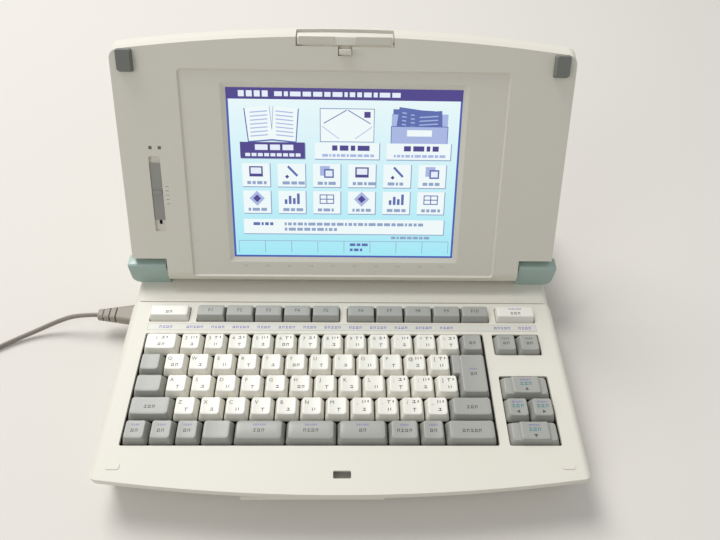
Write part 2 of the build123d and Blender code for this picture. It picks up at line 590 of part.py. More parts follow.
def make_cord():
    end = CORD_ROUTE[0]
    nose = Pos(INLET_FACE + 0.5, INLET_Y, INLET_Z) * figure_eight(LOBE_R, 10.5)
    wide = cross_section(INLET_FACE - 0.4, INLET_Y, INLET_Z, 20, 9.6, 3)
    mid = cross_section(CONNECTOR_WAIST_X, INLET_Y, INLET_Z, 13, 9, 3)
    tail = cross_section(end[0], INLET_Y, INLET_Z, 9.5, 7.5, 3)
    shell = loft([wide, mid], ruled=True) + loft([mid, tail], ruled=True)
    neck = Pos(INLET_FACE - 1, INLET_Y, INLET_Z) * figure_eight(LOBE_R, 3)
    body = shell + nose + neck
    for i in range(3):
        x = -209.0 + i * 5.5
        groove = block(x - 0.7, x + 0.7, INLET_Y - 12, INLET_Y + 12, INLET_Z - 8, INLET_Z + 8)
        groove = groove - block(x - 1, x + 1, INLET_Y - 4.2, INLET_Y + 4.2, INLET_Z - 3, INLET_Z + 3)
        body = body - groove
    for side in (-1, 1):
        body = body - bar_x(INLET_FACE + 1, INLET_FACE + 12, INLET_Y + side * LOBE_PITCH / 2,
                            INLET_Z, CONTACT_R + RUN_FIT)
    keep("cord_connector", body)

    route = [Vector(*p) for p in CORD_ROUTE]
    radii = []
    for before, here, after in zip(route, route[1:], route[2:]):
        turn = math.radians((here - before).get_angle(after - here))
        run = min((here - before).length, (after - here).length)
        radii.append(0.45 * run / math.tan(turn / 2))
    print("cord arc radii", [round(r, 1) for r in radii])
    path = FilletPolyline(*route, radius=radii)
    start = Plane(origin=route[0], z_dir=route[1] - route[0])
    tube = sweep(start * Circle(CORD_D / 2), path=path)
    section = math.pi * CORD_D ** 2 / 4
    print("cord tube", round(path.length, 1), "mm long, volume",
          round(tube.volume, 1), "against", round(section * path.length, 1))
    keep("power_cord", tube)

    # the coil lies beyond the tube's end, which runs into its turns as a tangent
    last = route[-1]
    heading = (route[-1] - route[-2]).normalized()
    touch = last + heading * COIL_LEAD
    cx = touch.X + heading.Y * COIL_OUT_R
    cy = touch.Y - heading.X * COIL_OUT_R
    height = COIL_LAYERS * CORD_D
    ring = post(cx, cy, 0, height, COIL_OUT_R + TURN_CLEAR)
    ring = ring - post(cx, cy, -1, height + 1, COIL_IN_R - TURN_CLEAR)
    stub = extrude(Plane(origin=last, z_dir=heading) * Circle(CORD_D / 2), COIL_LEAD)
    plug_y = cy - COIL_OUT_R
    tip = cx - TAIL_REACH
    plug_stub = bar_x(tip, cx - 5, plug_y, CORD_D / 2, CORD_D / 2)
    keep("cord_coil", ring + stub + plug_stub)

    # two flat blades in a moulded body, lying beside the coil
    back = cross_section(tip, plug_y, 2.9, 7, 5.6, 2)
    neck_end = cross_section(tip - 10, plug_y, 4.5, 9, 8, 2)
    shoulder = cross_section(tip - 16, plug_y, PLUG_Z, 24, 12, 3)
    plug = loft([back, neck_end], ruled=True) + loft([neck_end, shoulder], ruled=True)
    plug = plug + extrude(shoulder, PLUG_LEN)
    for side in (-1, 1):
        x1 = tip - 16 - PLUG_LEN
        x0 = x1 - BLADE_LEN
        y = plug_y + side * BLADE_PITCH / 2
        blade = block(x0, x1 + 1, y - 0.75, y + 0.75, PLUG_Z - 3.2, PLUG_Z + 3.2)
        blade = blade - Pos(x0 + 4, y, PLUG_Z) * Rot(90, 0, 0) * Cylinder(1.4, 4)
        plug = plug + blade
    keep("mains_plug", plug)


# ---------------------------------------------------------------- hinge
def make_hinges():
    knuckles = []
    pins = []
    for side in (-1, 1):
        x0, x1 = sorted((side * KNUCKLE_IN, side * KNUCKLE_OUT))
        low = REAR_DECK - HINGE_Z
        box = block(x0, x1, -KNUCKLE_FRONT, KNUCKLE_ROUND, low, KNUCKLE_TOP)
        rear_round = bar_x(x0 - 1, x1 + 1, 0, 0, KNUCKLE_ROUND)
        rear_round = rear_round + block(x0 - 1, x1 + 1, -KNUCKLE_FRONT - 1, 0, -1, KNUCKLE_TOP + 1)
        rear_round = rear_round + block(x0 - 1, x1 + 1, -KNUCKLE_FRONT - 1, KNUCKLE_ROUND + 1,
                                        low - 1, 0)
        body = box & rear_round
        outer = side * KNUCKLE_OUT
        edges = [e for e in body.edges()
                 if abs(e.center().X - outer) < 0.01 and e.center().Z < low + 0.01]
        body = fillet(edges, 7.0)
        front = [e for e in body.edges().filter_by(Axis.X)
                 if e.center().Y < -KNUCKLE_FRONT + 0.01 and e.center().Z > KNUCKLE_TOP - 0.01]
        body = fillet(front, 2.5)
        body = body - bar_x(*sorted((side * (KNUCKLE_IN - 1), side * (KNUCKLE_OUT - 6))), 0, 0,
                            PIN_R + RUN_FIT)
        knuckles.append(Pos(0, HINGE_Y, HINGE_Z) * body)
        pin_x = sorted((side * (NOTCH_IN - BEARING_LEN + 1), side * (KNUCKLE_OUT - 7)))
        pins.append(bar_x(pin_x[0], pin_x[1], HINGE_Y, HINGE_Z, PIN_R))
    keep("hinge_knuckles", *knuckles)
    keep("hinge_pins", *pins)


# ---------------------------------------------------------------- lid
HOOK_UP = SLOT_UP - SLOT_D / 2 + 0.6     # near face of the latch hook, the same way
BUMPER_UP = 173.0        # where the lid's rubber bumpers land, the same way


def lid_plan(side, top):
    """The lid's outline from the hinge to the arc that matches the base's front."""
    half = LID_HALF + side
    y_mid = LID_LENGTH + top
    y_side = y_mid - sagitta(half)
    low = -20.0
    arc = ThreePointArc((half, y_side), (0, y_mid), (-half, y_side))
    rest = Polyline((-half, y_side), (-half, low), (half, low), (half, y_side))
    face = make_face([arc.edge()] + rest.edges())
    top_corners = [v for v in face.vertices() if v.Y > 0]
    return fillet(top_corners, CORNER)


def lid_form(wall):
    """The lid's outer form, or its hollow when a wall is given."""
    z_face = FACE_OFFSET - wall
    z_wide = LID_BACK + TAPER_DEPTH
    z_back = LID_BACK + wall
    face = Pos(0, 0, z_face) * lid_plan(-wall, -wall)
    wide = Pos(0, 0, z_wide) * lid_plan(FLARE_SIDE - wall, FLARE_TOP - wall)
    back = Pos(0, 0, z_back) * lid_plan(FLARE_SIDE - TAPER_SIDE - wall, FLARE_TOP - TAPER_TOP - wall)
    form = loft([wide, face], ruled=True) + loft([back, wide], ruled=True)
    # the lower end is a half round, a little below the axis
    mid_z = (FACE_OFFSET + LID_BACK) / 2
    r = LID_THICK / 2 - wall
    half = LID_HALF + 10
    keep_zone = block(-half, half, LOW_ROUND_UP, FAR, LID_BACK - 1, FACE_OFFSET + 1)
    keep_zone = keep_zone + bar_x(-half, half, LOW_ROUND_UP, mid_z, r)
    form = form & keep_zone
    for side in (-1, 1):
        x0, x1 = sorted((side * (NOTCH_IN - wall), side * (half + 10)))
        form = form - block(x0, x1, -40, NOTCH_UP + wall, -40, 40)
    return form


def make_lid():
    shell = lid_form(0) - lid_form(LID_WALL)
    front_zone = block(-FAR, FAR, -FAR, FAR, LID_SPLIT, FAR)
    back_zone = block(-FAR, FAR, -FAR, FAR, -FAR, LID_SPLIT)
    front = shell & front_zone
    back = shell & back_zone

    # sunk panel with the screen window, bevelled
    panel_low = PANEL_LOW
    pz = FACE_OFFSET - PANEL_SINK
    skin = block(-PANEL_W / 2 - 3, PANEL_W / 2 + 3, panel_low - 3, panel_low + PANEL_H + 3,
                 pz - LID_WALL, FACE_OFFSET)
    front = front + (skin & lid_form(0))
    front = front - soft_block(-PANEL_W / 2, PANEL_W / 2, panel_low, panel_low + PANEL_H, pz, 40, 3)
    outer_win = Pos(0, SCREEN_MID, pz + 0.01) * RectangleRounded(
        SCREEN_W + 2 * WINDOW_BEVEL, SCREEN_H + 2 * WINDOW_BEVEL, 2)
    inner_win = Pos(0, SCREEN_MID, pz - LID_WALL - 0.01) * RectangleRounded(
        SCREEN_W, SCREEN_H, 0.5)
    front = front - loft([inner_win, outer_win], ruled=True)

    # slider recess with a slit for the knob's stem
    x0 = SLIDER_X - SLIDER_W / 2
    x1 = SLIDER_X + SLIDER_W / 2
    low = SLIDER_LOW
    high = SLIDER_LOW + SLIDER_LEN
    front = front + block(x0 - 1.5, x1 + 1.5, low - 1.5, high + 1.5, SLIDER_FLOOR - 1.2, FACE_OFFSET)
    front = front - soft_block(x0, x1, low, high, SLIDER_FLOOR, 40, 1.5)
    front = front - block(SLIDER_X - 1.2, SLIDER_X + 1.2, low + 6, high - 6, -5, 40)

    # latch pocket across both shells, with its floor in the back shell
    half = LATCH_W / 2 + 0.4
    pocket = block(-half, half, LATCH_LOW - 0.4, LID_LENGTH + 20, LATCH_FLOOR, FAR)
    hook_gap = block(-HOOK_W / 2 - 1, HOOK_W / 2 + 1, HOOK_UP - 2.6, LATCH_LOW, LATCH_FLOOR, FAR)
    inside = lid_form(LID_WALL / 2)
    tub = block(-half - 1.5, half + 1.5, HOOK_UP - 4.2, LID_LENGTH + 20, LATCH_FLOOR - 1.5, FAR)
    tub_front = (tub & inside) & front_zone
    tub_back = (tub & inside) & back_zone
    front = (front + tub_front) - pocket - hook_gap
    back = (back + tub_back) - pocket - hook_gap
    for side in (-1, 1):
        hole = bar_x(*sorted((side * (half - 1), side * (half + 1.6))), LATCH_AXIS_UP, LATCH_AXIS_Z,
                     LATCH_PIN_R + RUN_FIT)
        front = front - hole

    # hinge bearings are bosses of the back shell
    for side in (-1, 1):
        b0, b1 = sorted((side * (NOTCH_IN - BEARING_LEN), side * NOTCH_IN))
        front = front - bar_x(b0 - 1, b1 + 1, 0, 0, BEARING_R + SEAT_GAP)
        back = back + bar_x(b0, b1, 0, 0, BEARING_R)
        back = back + block(b0, b1, -3, 3, LID_BACK + 1, -3)
        back = back - bar_x(b0 - 1, b1 + 1, 0, 0, PIN_R + RUN_FIT)

    # screw bosses
    for x, y in LID_SCREWS:
        back = back + post(x, y, LID_BACK + 1, LID_SPLIT, 3.4)
        back = back - post(x, y, LID_BACK - 1, LID_SPLIT + 1, 1.2 + RUN_FIT)
        back = back - post(x, y, LID_BACK - 1, LID_BACK + 3, 2.7)
        front = front + post(x, y, LID_SPLIT, FACE_OFFSET - LID_WALL / 2, 3.4)
        front = front - post(x, y, LID_SPLIT - 1, FACE_OFFSET - 3, 1.2 + RUN_FIT)
    # two rails in the back shell carry the display module
    for side in (-1, 1):
        x = side * (DISPLAY_W / 2 - 12)
        back = back + block(x - 2, x + 2, SCREEN_MID - 60, SCREEN_MID + 60, LID_BACK + 1,
                            DISPLAY_BACK)
    for y in (INVERTER_UP - 2, INVERTER_UP + 3.5):
        back = back + post(-40, y, LID_BACK + 1, INVERTER_Z, 2.0) + post(40, y, LID_BACK + 1,
                                                                        INVERTER_Z, 2.0)
    keep("lid_front_bezel", LID_PLACE * front)
    keep("lid_back_shell", LID_PLACE * back)

    screws = []
    for x, y in LID_SCREWS:
        head = post(x, y, LID_BACK + 0.8, LID_BACK + 3, 2.4)
        screws.append(LID_PLACE * (head + post(x, y, LID_BACK + 2, FACE_OFFSET - 3.6, 1.2)))
    keep("lid_screws", *screws)

    bumpers = []
    for side in (-1, 1):
        foot = RectangleRounded(12, 17, 1.5)
        top = Pos(0, 0, BUMPER_H) * RectangleRounded(10.5, 15, 1.5)
        rubber = loft([foot, top], ruled=True)
        x = side * (BASE_HALF - BUMPER_INSET)
        bumpers.append(LID_PLACE * Pos(x, BUMPER_UP - 4, FACE_OFFSET) * rubber)
    keep("lid_bumpers", *bumpers)


SLIDER_FLOOR = FACE_OFFSET - 2.0
LATCH_LOW = 181.4
LATCH_FLOOR = -4.5
LATCH_AXIS_UP = LATCH_LOW + 2.0
LATCH_AXIS_Z = 3.2
LATCH_PIN_R = 1.0
LID_SCREWS = [(sx * (BASE_HALF - 40), y) for sx in (-1, 1) for y in (20.0, 168.0)]
DISPLAY_W = 206.0
DISPLAY_H = 158.0
GLASS_T = 1.1
GLASS_FRONT = FACE_OFFSET - PANEL_SINK - LID_WALL - 0.15
DISPLAY_FRONT = GLASS_FRONT - GLASS_T
DISPLAY_T = 7.0
DISPLAY_BACK = DISPLAY_FRONT - DISPLAY_T
INVERTER_UP = 166.0
INVERTER_Z = -4.0
TUBE_R = 1.6
PAPER_W = 226.0


def make_display():
    half_w = DISPLAY_W / 2
    half_h = DISPLAY_H / 2
    glass = soft_block(-half_w + 4, half_w - 4, SCREEN_MID - half_h + 3, SCREEN_MID + half_h - 3,
                       DISPLAY_FRONT, GLASS_FRONT, 0.5)
    keep("lcd_glass", LID_PLACE * glass)
    module = soft_block(-half_w, half_w, SCREEN_MID - half_h, SCREEN_MID + half_h,
                        DISPLAY_BACK, DISPLAY_FRONT, 1.0)
    tube_y = SCREEN_MID - half_h + 4.0
    tube_z = DISPLAY_FRONT - 3.2
    channel = block(-half_w + 5, half_w - 5, tube_y - TUBE_R - 0.3, tube_y + TUBE_R + 0.3,
                    tube_z - TUBE_R - 0.3, tube_z + TUBE_R + 0.3)
    keep("lcd_panel", LID_PLACE * (module - channel))
    tube = bar_x(-half_w + 5.2, half_w - 5.2, tube_y, tube_z, TUBE_R)
    keep("backlight_tube", LID_PLACE * tube)
    board = block(-60, 60, INVERTER_UP - 4.5, INVERTER_UP + 4.5, INVERTER_Z, INVERTER_Z + 1.2)
    board = board + block(10, 32, INVERTER_UP - 4, INVERTER_UP + 4, INVERTER_Z + 1, INVERTER_Z + 6)
    keep("inverter_board", LID_PLACE * board)


def make_knob_and_latch():
    x0 = SLIDER_X - SLIDER_W / 2 + 0.35
    x1 = SLIDER_X + SLIDER_W / 2 - 0.35
    low = SLIDER_LOW + KNOB_START
    plate = soft_block(x0, x1, low, low + KNOB_LEN, SLIDER_FLOOR + 0.1, FACE_OFFSET - KNOB_SINK,
                      1.0)
    mid = low + KNOB_LEN / 2
    ridge = block(x0 + 0.4, x1 - 0.4, mid - 1.2, mid + 1.2, FACE_OFFSET - KNOB_SINK - 0.2,
                  FACE_OFFSET + LID_GAP - RIDGE_CLEAR)
    stem = block(SLIDER_X - 1.1, SLIDER_X + 1.1, mid - 3, mid + 3, SLIDER_FLOOR - 3.5, SLIDER_FLOOR + 1)
    keep("contrast_knob", LID_PLACE * (plate + ridge + stem))

    half = LATCH_W / 2
    form = lid_form(0.2)
    bar = block(-half, half, LATCH_LOW, LID_LENGTH + 20, 0.6, FAR) & form
    bar = bar + bar_x(-half, half, LATCH_AXIS_UP, LATCH_AXIS_Z, LATCH_AXIS_UP - LATCH_LOW)
    pins = bar_x(-half - 1.6, half + 1.6, LATCH_AXIS_UP, LATCH_AXIS_Z, LATCH_PIN_R)
    hook_z = FACE_OFFSET + FACE_GAP + WALL + 2.6
    shank = block(-HOOK_W / 2, HOOK_W / 2, HOOK_UP, HOOK_UP + HOOK_T, 1.2, hook_z)
    barb = prism_x([(HOOK_UP + 0.1, hook_z - 2.2), (HOOK_UP - HOOK_BARB, hook_z - 1.9),
                    (HOOK_UP + 0.1, hook_z)], -HOOK_W / 2, HOOK_W / 2)
    foot = block(-HOOK_W / 2, HOOK_W / 2, HOOK_UP, LATCH_LOW + 1, 1.2, 4.2)
    keep("latch_bar", LID_PLACE * (bar + pins + shank + barb + foot))


# ---------------------------------------------------------------- printer
CHASSIS_Z = 8.5
CHASSIS_HALF = 133.0
SIDE_T = 2.0
PLATEN_Y = HOUSING_Y + 50.0
PLATEN_Z = 32.0
PLATEN_R = 10.0
PLATEN_HALF = 108.0
SHAFT_R = 3.0
ROD_R = 2.5
ROD_Y = PLATEN_Y - 26.0
ROD_ZS = (20.0, 42.0)
GEAR_MODULE = 1.0
GEAR_TEETH = 24
PINION_TEETH = 12
GEAR_X = (CHASSIS_HALF + 1.5, CHASSIS_HALF + 6.5)
PINION_Y = PLATEN_Y + GEAR_MODULE * (GEAR_TEETH + PINION_TEETH) / 2 + 0.1
PINION_Z = PLATEN_Z
MOTOR_SHAFT_R = 1.0
CARRIAGE_W = 36.0
CARRIAGE_X = -88.0
CASSETTE_LOW = 47.5
CASSETTE_TOP = HOUSING_TOP - 7.5
BELT_Z = 31.0
BELT_Y = ROD_Y - 12.5
BELT_T = 0.8
BELT_SPAN = 118.0
PULLEY_R = 4.0
CHASSIS_POSTS = [(sx * 118.0, y) for sx in (-1, 1) for y in (HOUSING_Y + 12, REAR_Y - 16)]


def gear(teeth, x0, x1, bore, phase):
    """A straight-cut gear along X about the X axis, with a little backlash."""
    pitch_r = GEAR_MODULE * teeth / 2
    root = pitch_r - 1.2 * GEAR_MODULE
    tip = pitch_r + 0.9 * GEAR_MODULE
    step = 2 * math.pi / teeth
    points = []
    for i in range(teeth):
        mid = i * step + phase
        for r, share in ((root, -0.30), (tip, -0.11), (tip, 0.11), (root, 0.30)):
            angle = mid + share * step
            points.append((r * math.cos(angle), r * math.sin(angle)))
    return prism_x(points, x0, x1) - bar_x(x0 - 1, x1 + 1, 0, 0, bore)


def make_printer():
    y0 = HOUSING_Y + 6
    y1 = REAR_Y - 10
    h = CHASSIS_HALF
    chassis = block(-h, h, y0, y1, CHASSIS_Z, CHASSIS_Z + SIDE_T)
    top = 48.0
    for side in (-1, 1):
        x0, x1 = sorted((side * h, side * (h - SIDE_T)))
        plate = block(x0, x1, y0, y1, CHASSIS_Z, top)
        plate = plate - bar_x(x0 - 1, x1 + 1, PLATEN_Y, PLATEN_Z, SHAFT_R + RUN_FIT)
        for z in ROD_ZS:
            plate = plate - bar_x(x0 - 1, x1 + 1, ROD_Y, z, ROD_R + RUN_FIT)
        chassis = chassis + plate
    chassis = chassis - bar_x(h - SIDE_T - 1, h + 1, PINION_Y, PINION_Z, MOTOR_SHAFT_R + 0.4)
    # the belt's idle end turns on a post of the chassis
    chassis = chassis + post(-BELT_SPAN, BELT_Y, CHASSIS_Z + SIDE_T - 1, BELT_Z + 2.4,
                             PULLEY_R - BELT_T - 0.1)
    keep("printer_chassis", chassis)

    rods = [bar_x(-h - 1.5, h + 1.5, ROD_Y, z, ROD_R) for z in ROD_ZS]
    keep("guide_rods", *rods)

    roller = bar_x(-PLATEN_HALF, PLATEN_HALF, PLATEN_Y, PLATEN_Z, PLATEN_R)
    shaft = bar_x(-h - 4, GEAR_X[1] + 2, PLATEN_Y, PLATEN_Z, SHAFT_R)
    flat = block(GEAR_X[0], GEAR_X[1] + 3, PLATEN_Y - 5, PLATEN_Y + 5, PLATEN_Z + SHAFT_R - 0.5,
                 PLATEN_Z + 5)
    keep("platen_roller", roller + shaft - flat)
    # the roller's gear has a flat in its bore, on the shaft's flat
    wheel = Pos(0, PLATEN_Y, PLATEN_Z) * gear(GEAR_TEETH, GEAR_X[0], GEAR_X[1], SHAFT_R + RUN_FIT, 0)
    key = block(GEAR_X[0], GEAR_X[1], PLATEN_Y - 2.2, PLATEN_Y + 2.2,
                PLATEN_Z + SHAFT_R - 0.5 + RUN_FIT, PLATEN_Z + SHAFT_R + 0.8)
    keep("platen_gear", wheel + key)
    # the pinion is behind the gear, and one of its tooth gaps faces the gear's tooth
    phase = math.pi / PINION_TEETH
    pinion = gear(PINION_TEETH, GEAR_X[0], GEAR_X[1], MOTOR_SHAFT_R + RUN_FIT, phase)
    keep("motor_pinion", Pos(0, PINION_Y, PINION_Z) * pinion)
    inner = h - SIDE_T
    can_r = 9.0
    motor = bar_x(inner - 20, inner, PINION_Y, PINION_Z, can_r)
    motor = motor + block(inner - 1, inner, PINION_Y - 4, PINION_Y + 4, PINION_Z - 14, PINION_Z + 14)
    motor = motor + bar_x(inner - 1, GEAR_X[1] + 1, PINION_Y, PINION_Z, MOTOR_SHAFT_R)
    motor = motor + bar_x(GEAR_X[1] + 0.3, GEAR_X[1] + 1, PINION_Y, PINION_Z, 1.8)
    keep("feed_motor", motor)

    # carriage on the two rods, with the print head facing the roller
    half = CARRIAGE_W / 2
    cx = CARRIAGE_X
    body = soft_block(cx - half, cx + half, ROD_Y - 6, ROD_Y + 8, CHASSIS_Z + SIDE_T + 2, 47.5, 1.5)
    for z in ROD_ZS:
        body = body - bar_x(cx - half - 1, cx + half + 1, ROD_Y, z, ROD_R + RUN_FIT)
    clamp = block(cx - 6, cx + 6, BELT_Y + PULLEY_R + SEAT_GAP, ROD_Y - 5, BELT_Z - 2.5,
                  BELT_Z + 2.5)
    keep("print_carriage", body + clamp)
    head_y = PLATEN_Y - PLATEN_R - 0.6
    head = block(cx - 5, cx + 5, ROD_Y + 8, head_y, PLATEN_Z - 6, PLATEN_Z + 6)
    keep("print_head", head)
    cassette = soft_block(cx - 32, cx + 32, HOUSING_Y + 8, PLATEN_Y - 2, CASSETTE_LOW,
                          CASSETTE_TOP, (CASSETTE_TOP - CASSETTE_LOW) / 3)
    for side in (-1, 1):
        cassette = cassette - post(cx + side * 16, HOUSING_Y + 24, CASSETTE_LOW - 5,
                                   CASSETTE_TOP + 5, 4)
    keep("ribbon_cassette", cassette)

    # belt loop between a driven and an idle pulley, both with upright axes
    outer = SlotCenterToCenter(2 * BELT_SPAN, 2 * PULLEY_R)
    inner_loop = SlotCenterToCenter(2 * BELT_SPAN, 2 * (PULLEY_R - BELT_T))
    loop = extrude(Pos(0, BELT_Y, BELT_Z - 2) * (outer - inner_loop), 4)
    keep("carriage_belt", loop)
    drive = post(BELT_SPAN, BELT_Y, BELT_Z - 2.4, BELT_Z + 2.4, PULLEY_R - BELT_T - 0.1)
    drive = drive + post(BELT_SPAN, BELT_Y, BELT_Z - 8, BELT_Z - 2, 1.2)
    can = post(BELT_SPAN, BELT_Y, CHASSIS_Z + SIDE_T, BELT_Z - 7, 6.5)
    keep("carriage_motor", can + drive)


# ---------------------------------------------------------------- build
make_top_case()
make_bottom_case()
make_printer_housing()
make_printer_cover()
make_feet_and_screws()
make_keys()
make_key_unit()
make_boards()
make_cord()
make_hinges()
make_lid()
make_display()
make_knob_and_latch()
make_printer()

os.makedirs("parts", exist_ok=True)
for name, shape in PARTS.items():
    export_step(shape, os.path.join("parts", name + ".step"))
print(len(PARTS), "nodes, base half width", round(BASE_HALF, 2), "depth", round(DEPTH, 2))
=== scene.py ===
import json
import math

import bmesh
import bpy
from mathutils import Matrix, Vector


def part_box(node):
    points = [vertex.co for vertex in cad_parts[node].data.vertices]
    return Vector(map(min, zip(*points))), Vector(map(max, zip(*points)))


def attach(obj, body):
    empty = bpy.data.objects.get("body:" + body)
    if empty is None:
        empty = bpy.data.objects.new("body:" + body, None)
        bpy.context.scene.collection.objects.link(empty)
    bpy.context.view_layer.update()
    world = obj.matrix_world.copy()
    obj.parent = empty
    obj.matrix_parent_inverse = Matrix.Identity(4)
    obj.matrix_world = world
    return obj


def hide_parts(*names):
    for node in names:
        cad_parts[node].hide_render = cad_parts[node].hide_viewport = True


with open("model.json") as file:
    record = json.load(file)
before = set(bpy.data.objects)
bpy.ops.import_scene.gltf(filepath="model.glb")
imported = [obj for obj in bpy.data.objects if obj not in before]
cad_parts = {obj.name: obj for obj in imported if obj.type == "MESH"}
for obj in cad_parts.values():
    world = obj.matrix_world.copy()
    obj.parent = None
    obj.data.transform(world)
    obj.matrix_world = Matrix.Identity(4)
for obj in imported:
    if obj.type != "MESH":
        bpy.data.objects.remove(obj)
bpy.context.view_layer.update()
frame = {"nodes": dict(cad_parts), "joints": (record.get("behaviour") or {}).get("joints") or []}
nodes = frame["nodes"]
bpy.ops.object.select_all(action="DESELECT")


# ---------------- view and light
# The machine stands on a pale table top. One big soft lamp hangs above and behind it, so
# the keyboard deck is bright and the face of the raised lid lies in soft shade.
def linear(code):
    """An sRGB hex colour as linear red, green, blue and alpha."""
    parts = [int(code[i:i + 2], 16) / 255 for i in (1, 3, 5)]
    return [c / 12.92 if c <= 0.04045 else ((c + 0.055) / 1.055) ** 2.4 for c in parts] + [1.0]


def add_node(tree, kind, inputs=None, **settings):
    """One shader node, with its settings, and its inputs set to values or linked."""
    node = tree.nodes.new("ShaderNode" + kind)
    for name, value in settings.items():
        setattr(node, name, value)
    for name, value in (inputs or {}).items():
        if isinstance(value, bpy.types.NodeSocket):
            tree.links.new(value, node.inputs[name])
        else:
            node.inputs[name].default_value = value
    return node


def put_in_scene(thing):
    """Links a new object to the scene."""
    bpy.context.scene.collection.objects.link(thing)


camera = bpy.data.objects.new("camera", bpy.data.cameras.new("camera"))
put_in_scene(camera)
camera.location = (0.0011, -0.3060, 0.4748)
camera.rotation_euler = [math.radians(a) for a in (39.06, -1.31, -0.551)]
camera.data.sensor_width = 36.0
camera.data.lens = 31.35
camera.data.clip_start = 0.01
bpy.context.scene.camera = camera
bpy.context.scene.view_settings.view_transform = "Standard"


def add_lamp(name, place, aim, size, watts, spread=180):
    """A square soft lamp at a place, turned towards an aim, with a grid that narrows it."""
    lamp = bpy.data.objects.new(name, bpy.data.lights.new(name, "AREA"))
    put_in_scene(lamp)
    lamp.location = place
    lamp.rotation_euler = (Vector(aim) - Vector(place)).to_track_quat("-Z", "Y").to_euler()
    lamp.data.size = size
    lamp.data.energy = watts
    lamp.data.spread = math.radians(spread)


add_lamp("overhead", place=(-0.95, 1.25, 2.2), aim=(0.05, -0.25, 0), size=1.3, watts=27.0,
         spread=130)
add_lamp("front_fill", place=(-1.2, -1.0, 1.2), aim=(0, 0, 0.1), size=0.9, watts=4.8)

# the room's daylight is dimmer than the backdrop that the camera and the gloss see
world = bpy.data.worlds.new("studio")
bpy.context.scene.world = world
world.use_nodes = True
sky = world.node_tree
rays = add_node(sky, "LightPath")
seen = add_node(sky, "Math", {0: rays.outputs["Is Camera Ray"],
                              1: rays.outputs["Is Glossy Ray"]}, operation="MAXIMUM")
backdrop = add_node(sky, "Background", {"Color": linear("#EDE9E3"), "Strength": 1.0})
daylight = add_node(sky, "Background", {"Color": linear("#F4F6FA"), "Strength": 0.5})
either = add_node(sky, "MixShader", {0: seen.outputs[0], 1: daylight.outputs[0],
                                     2: backdrop.outputs[0]})
sky.links.new(either.outputs[0], sky.nodes["World Output"].inputs["Surface"])

bpy.ops.mesh.primitive_plane_add(size=6.0, location=(0, 0, 0))
table_top = bpy.context.object
table_top.name = "table_top"
# a matt laminate, with next to no shine
laminate = bpy.data.materials.new("pale_table_top")
laminate.use_nodes = True
surface = laminate.node_tree.nodes["Principled BSDF"]
surface.inputs["Base Color"].default_value = linear("#E0DCD4")
surface.inputs["Roughness"].default_value = 0.9
surface.inputs["Specular IOR Level"].default_value = 0.1
table_top.data.materials.append(laminate)


# ---------------- power lead
# A flat twin flex in warm grey PVC. It leaves the moulded connector in the left side, drops
# to the table and runs off to the left, where the spare length is wound in a neat coil of
# two layers, with the turns on edge. The connector and the plug are moulded onto it.
CLOUD_SCALE = 14.0      # clouds of about 70 mm
GLOSS_RANGE = 0.06      # how far the grain takes the roughness up and down


def skin(name, shade, rough, grain_mm, relief_mm, cloud=0.03, metallic=0.0, coat=0.0):
    """A material with a fine grain and a faint large cloud in its colour."""
    material = bpy.data.materials.new(name)
    material.use_nodes = True
    tree = material.node_tree
    surface = tree.nodes["Principled BSDF"]
    place = add_node(tree, "TexCoord").outputs["Object"]
    grain = add_node(tree, "TexNoise", {"Vector": place, "Scale": 1000 / grain_mm, "Detail": 2.0})
    wide = add_node(tree, "TexNoise", {"Vector": place, "Scale": CLOUD_SCALE, "Detail": 3.0})
    base = linear(shade)
    dull = [c * (1 - 2 * cloud) for c in base[:3]] + [1.0]
    tint = add_node(tree, "MixRGB", {"Fac": wide.outputs["Fac"], "Color1": base, "Color2": dull})
    tree.links.new(tint.outputs[0], surface.inputs["Base Color"])
    gloss = add_node(tree, "MapRange", {"Value": grain.outputs["Fac"],
                                        "To Min": rough - GLOSS_RANGE,
                                        "To Max": rough + GLOSS_RANGE})
    tree.links.new(gloss.outputs[0], surface.inputs["Roughness"])
    bump = add_node(tree, "Bump", {"Height": grain.outputs["Fac"], "Strength": 0.6,
                                   "Distance": relief_mm / 1000})
    tree.links.new(bump.outputs[0], surface.inputs["Normal"])
    surface.inputs["Metallic"].default_value = metallic
    surface.inputs["Coat Weight"].default_value = coat
    return material


# Soft PVC: slightly waxy, with a faint drag texture from the extruder.
flex_pvc = skin("flex_pvc", "#958D83", 0.42, 1.2, 0.03)
# The overmoulding is a paler PVC with a matt spark-eroded skin.
plug_pvc = skin("moulded_pvc", "#968F82", 0.5, 0.9, 0.03)


def take(piece):
    """Selects a piece and makes it the one that operators act on."""
    piece.select_set(True)
    bpy.context.view_layer.objects.active = piece


LOBE = 0.00125          # radius of each of the flex's two lobes
LOBE_APART = 0.0012     # their middles from the middle of the flex
# from the connector's mouth down to the table and towards the coil
ROUTE = [
    (-0.214, 0.012, 0.018),
    (-0.232, 0.012, 0.018),
    (-0.250, 0.0102, 0.0118),
    (-0.269, 0.0042, 0.0054),
    (-0.288, -0.0050, 0.0030),
    (-0.304, -0.0152, 0.0026),
    (-0.315, -0.0290, 0.0026),
]
COIL_LEAD = 0.0275      # from the route's last point to where it meets the coil
COIL_OUT_R = 0.0356
COIL_IN_R = 0.0204
TURNS_IN = 5.0          # in the lower layer, from outside to inside
TURNS_OUT = 4.14        # in the upper layer, back out
UPPER_SPREAD = 0.0006   # the upper layer ends this much further out
STEPS = 16              # points in a turn
LAYER_Z = (0.0026, 0.0076)
CLIMB_EARLY = 0.35      # the climb to the upper layer, in turns
CLIMB = 0.6

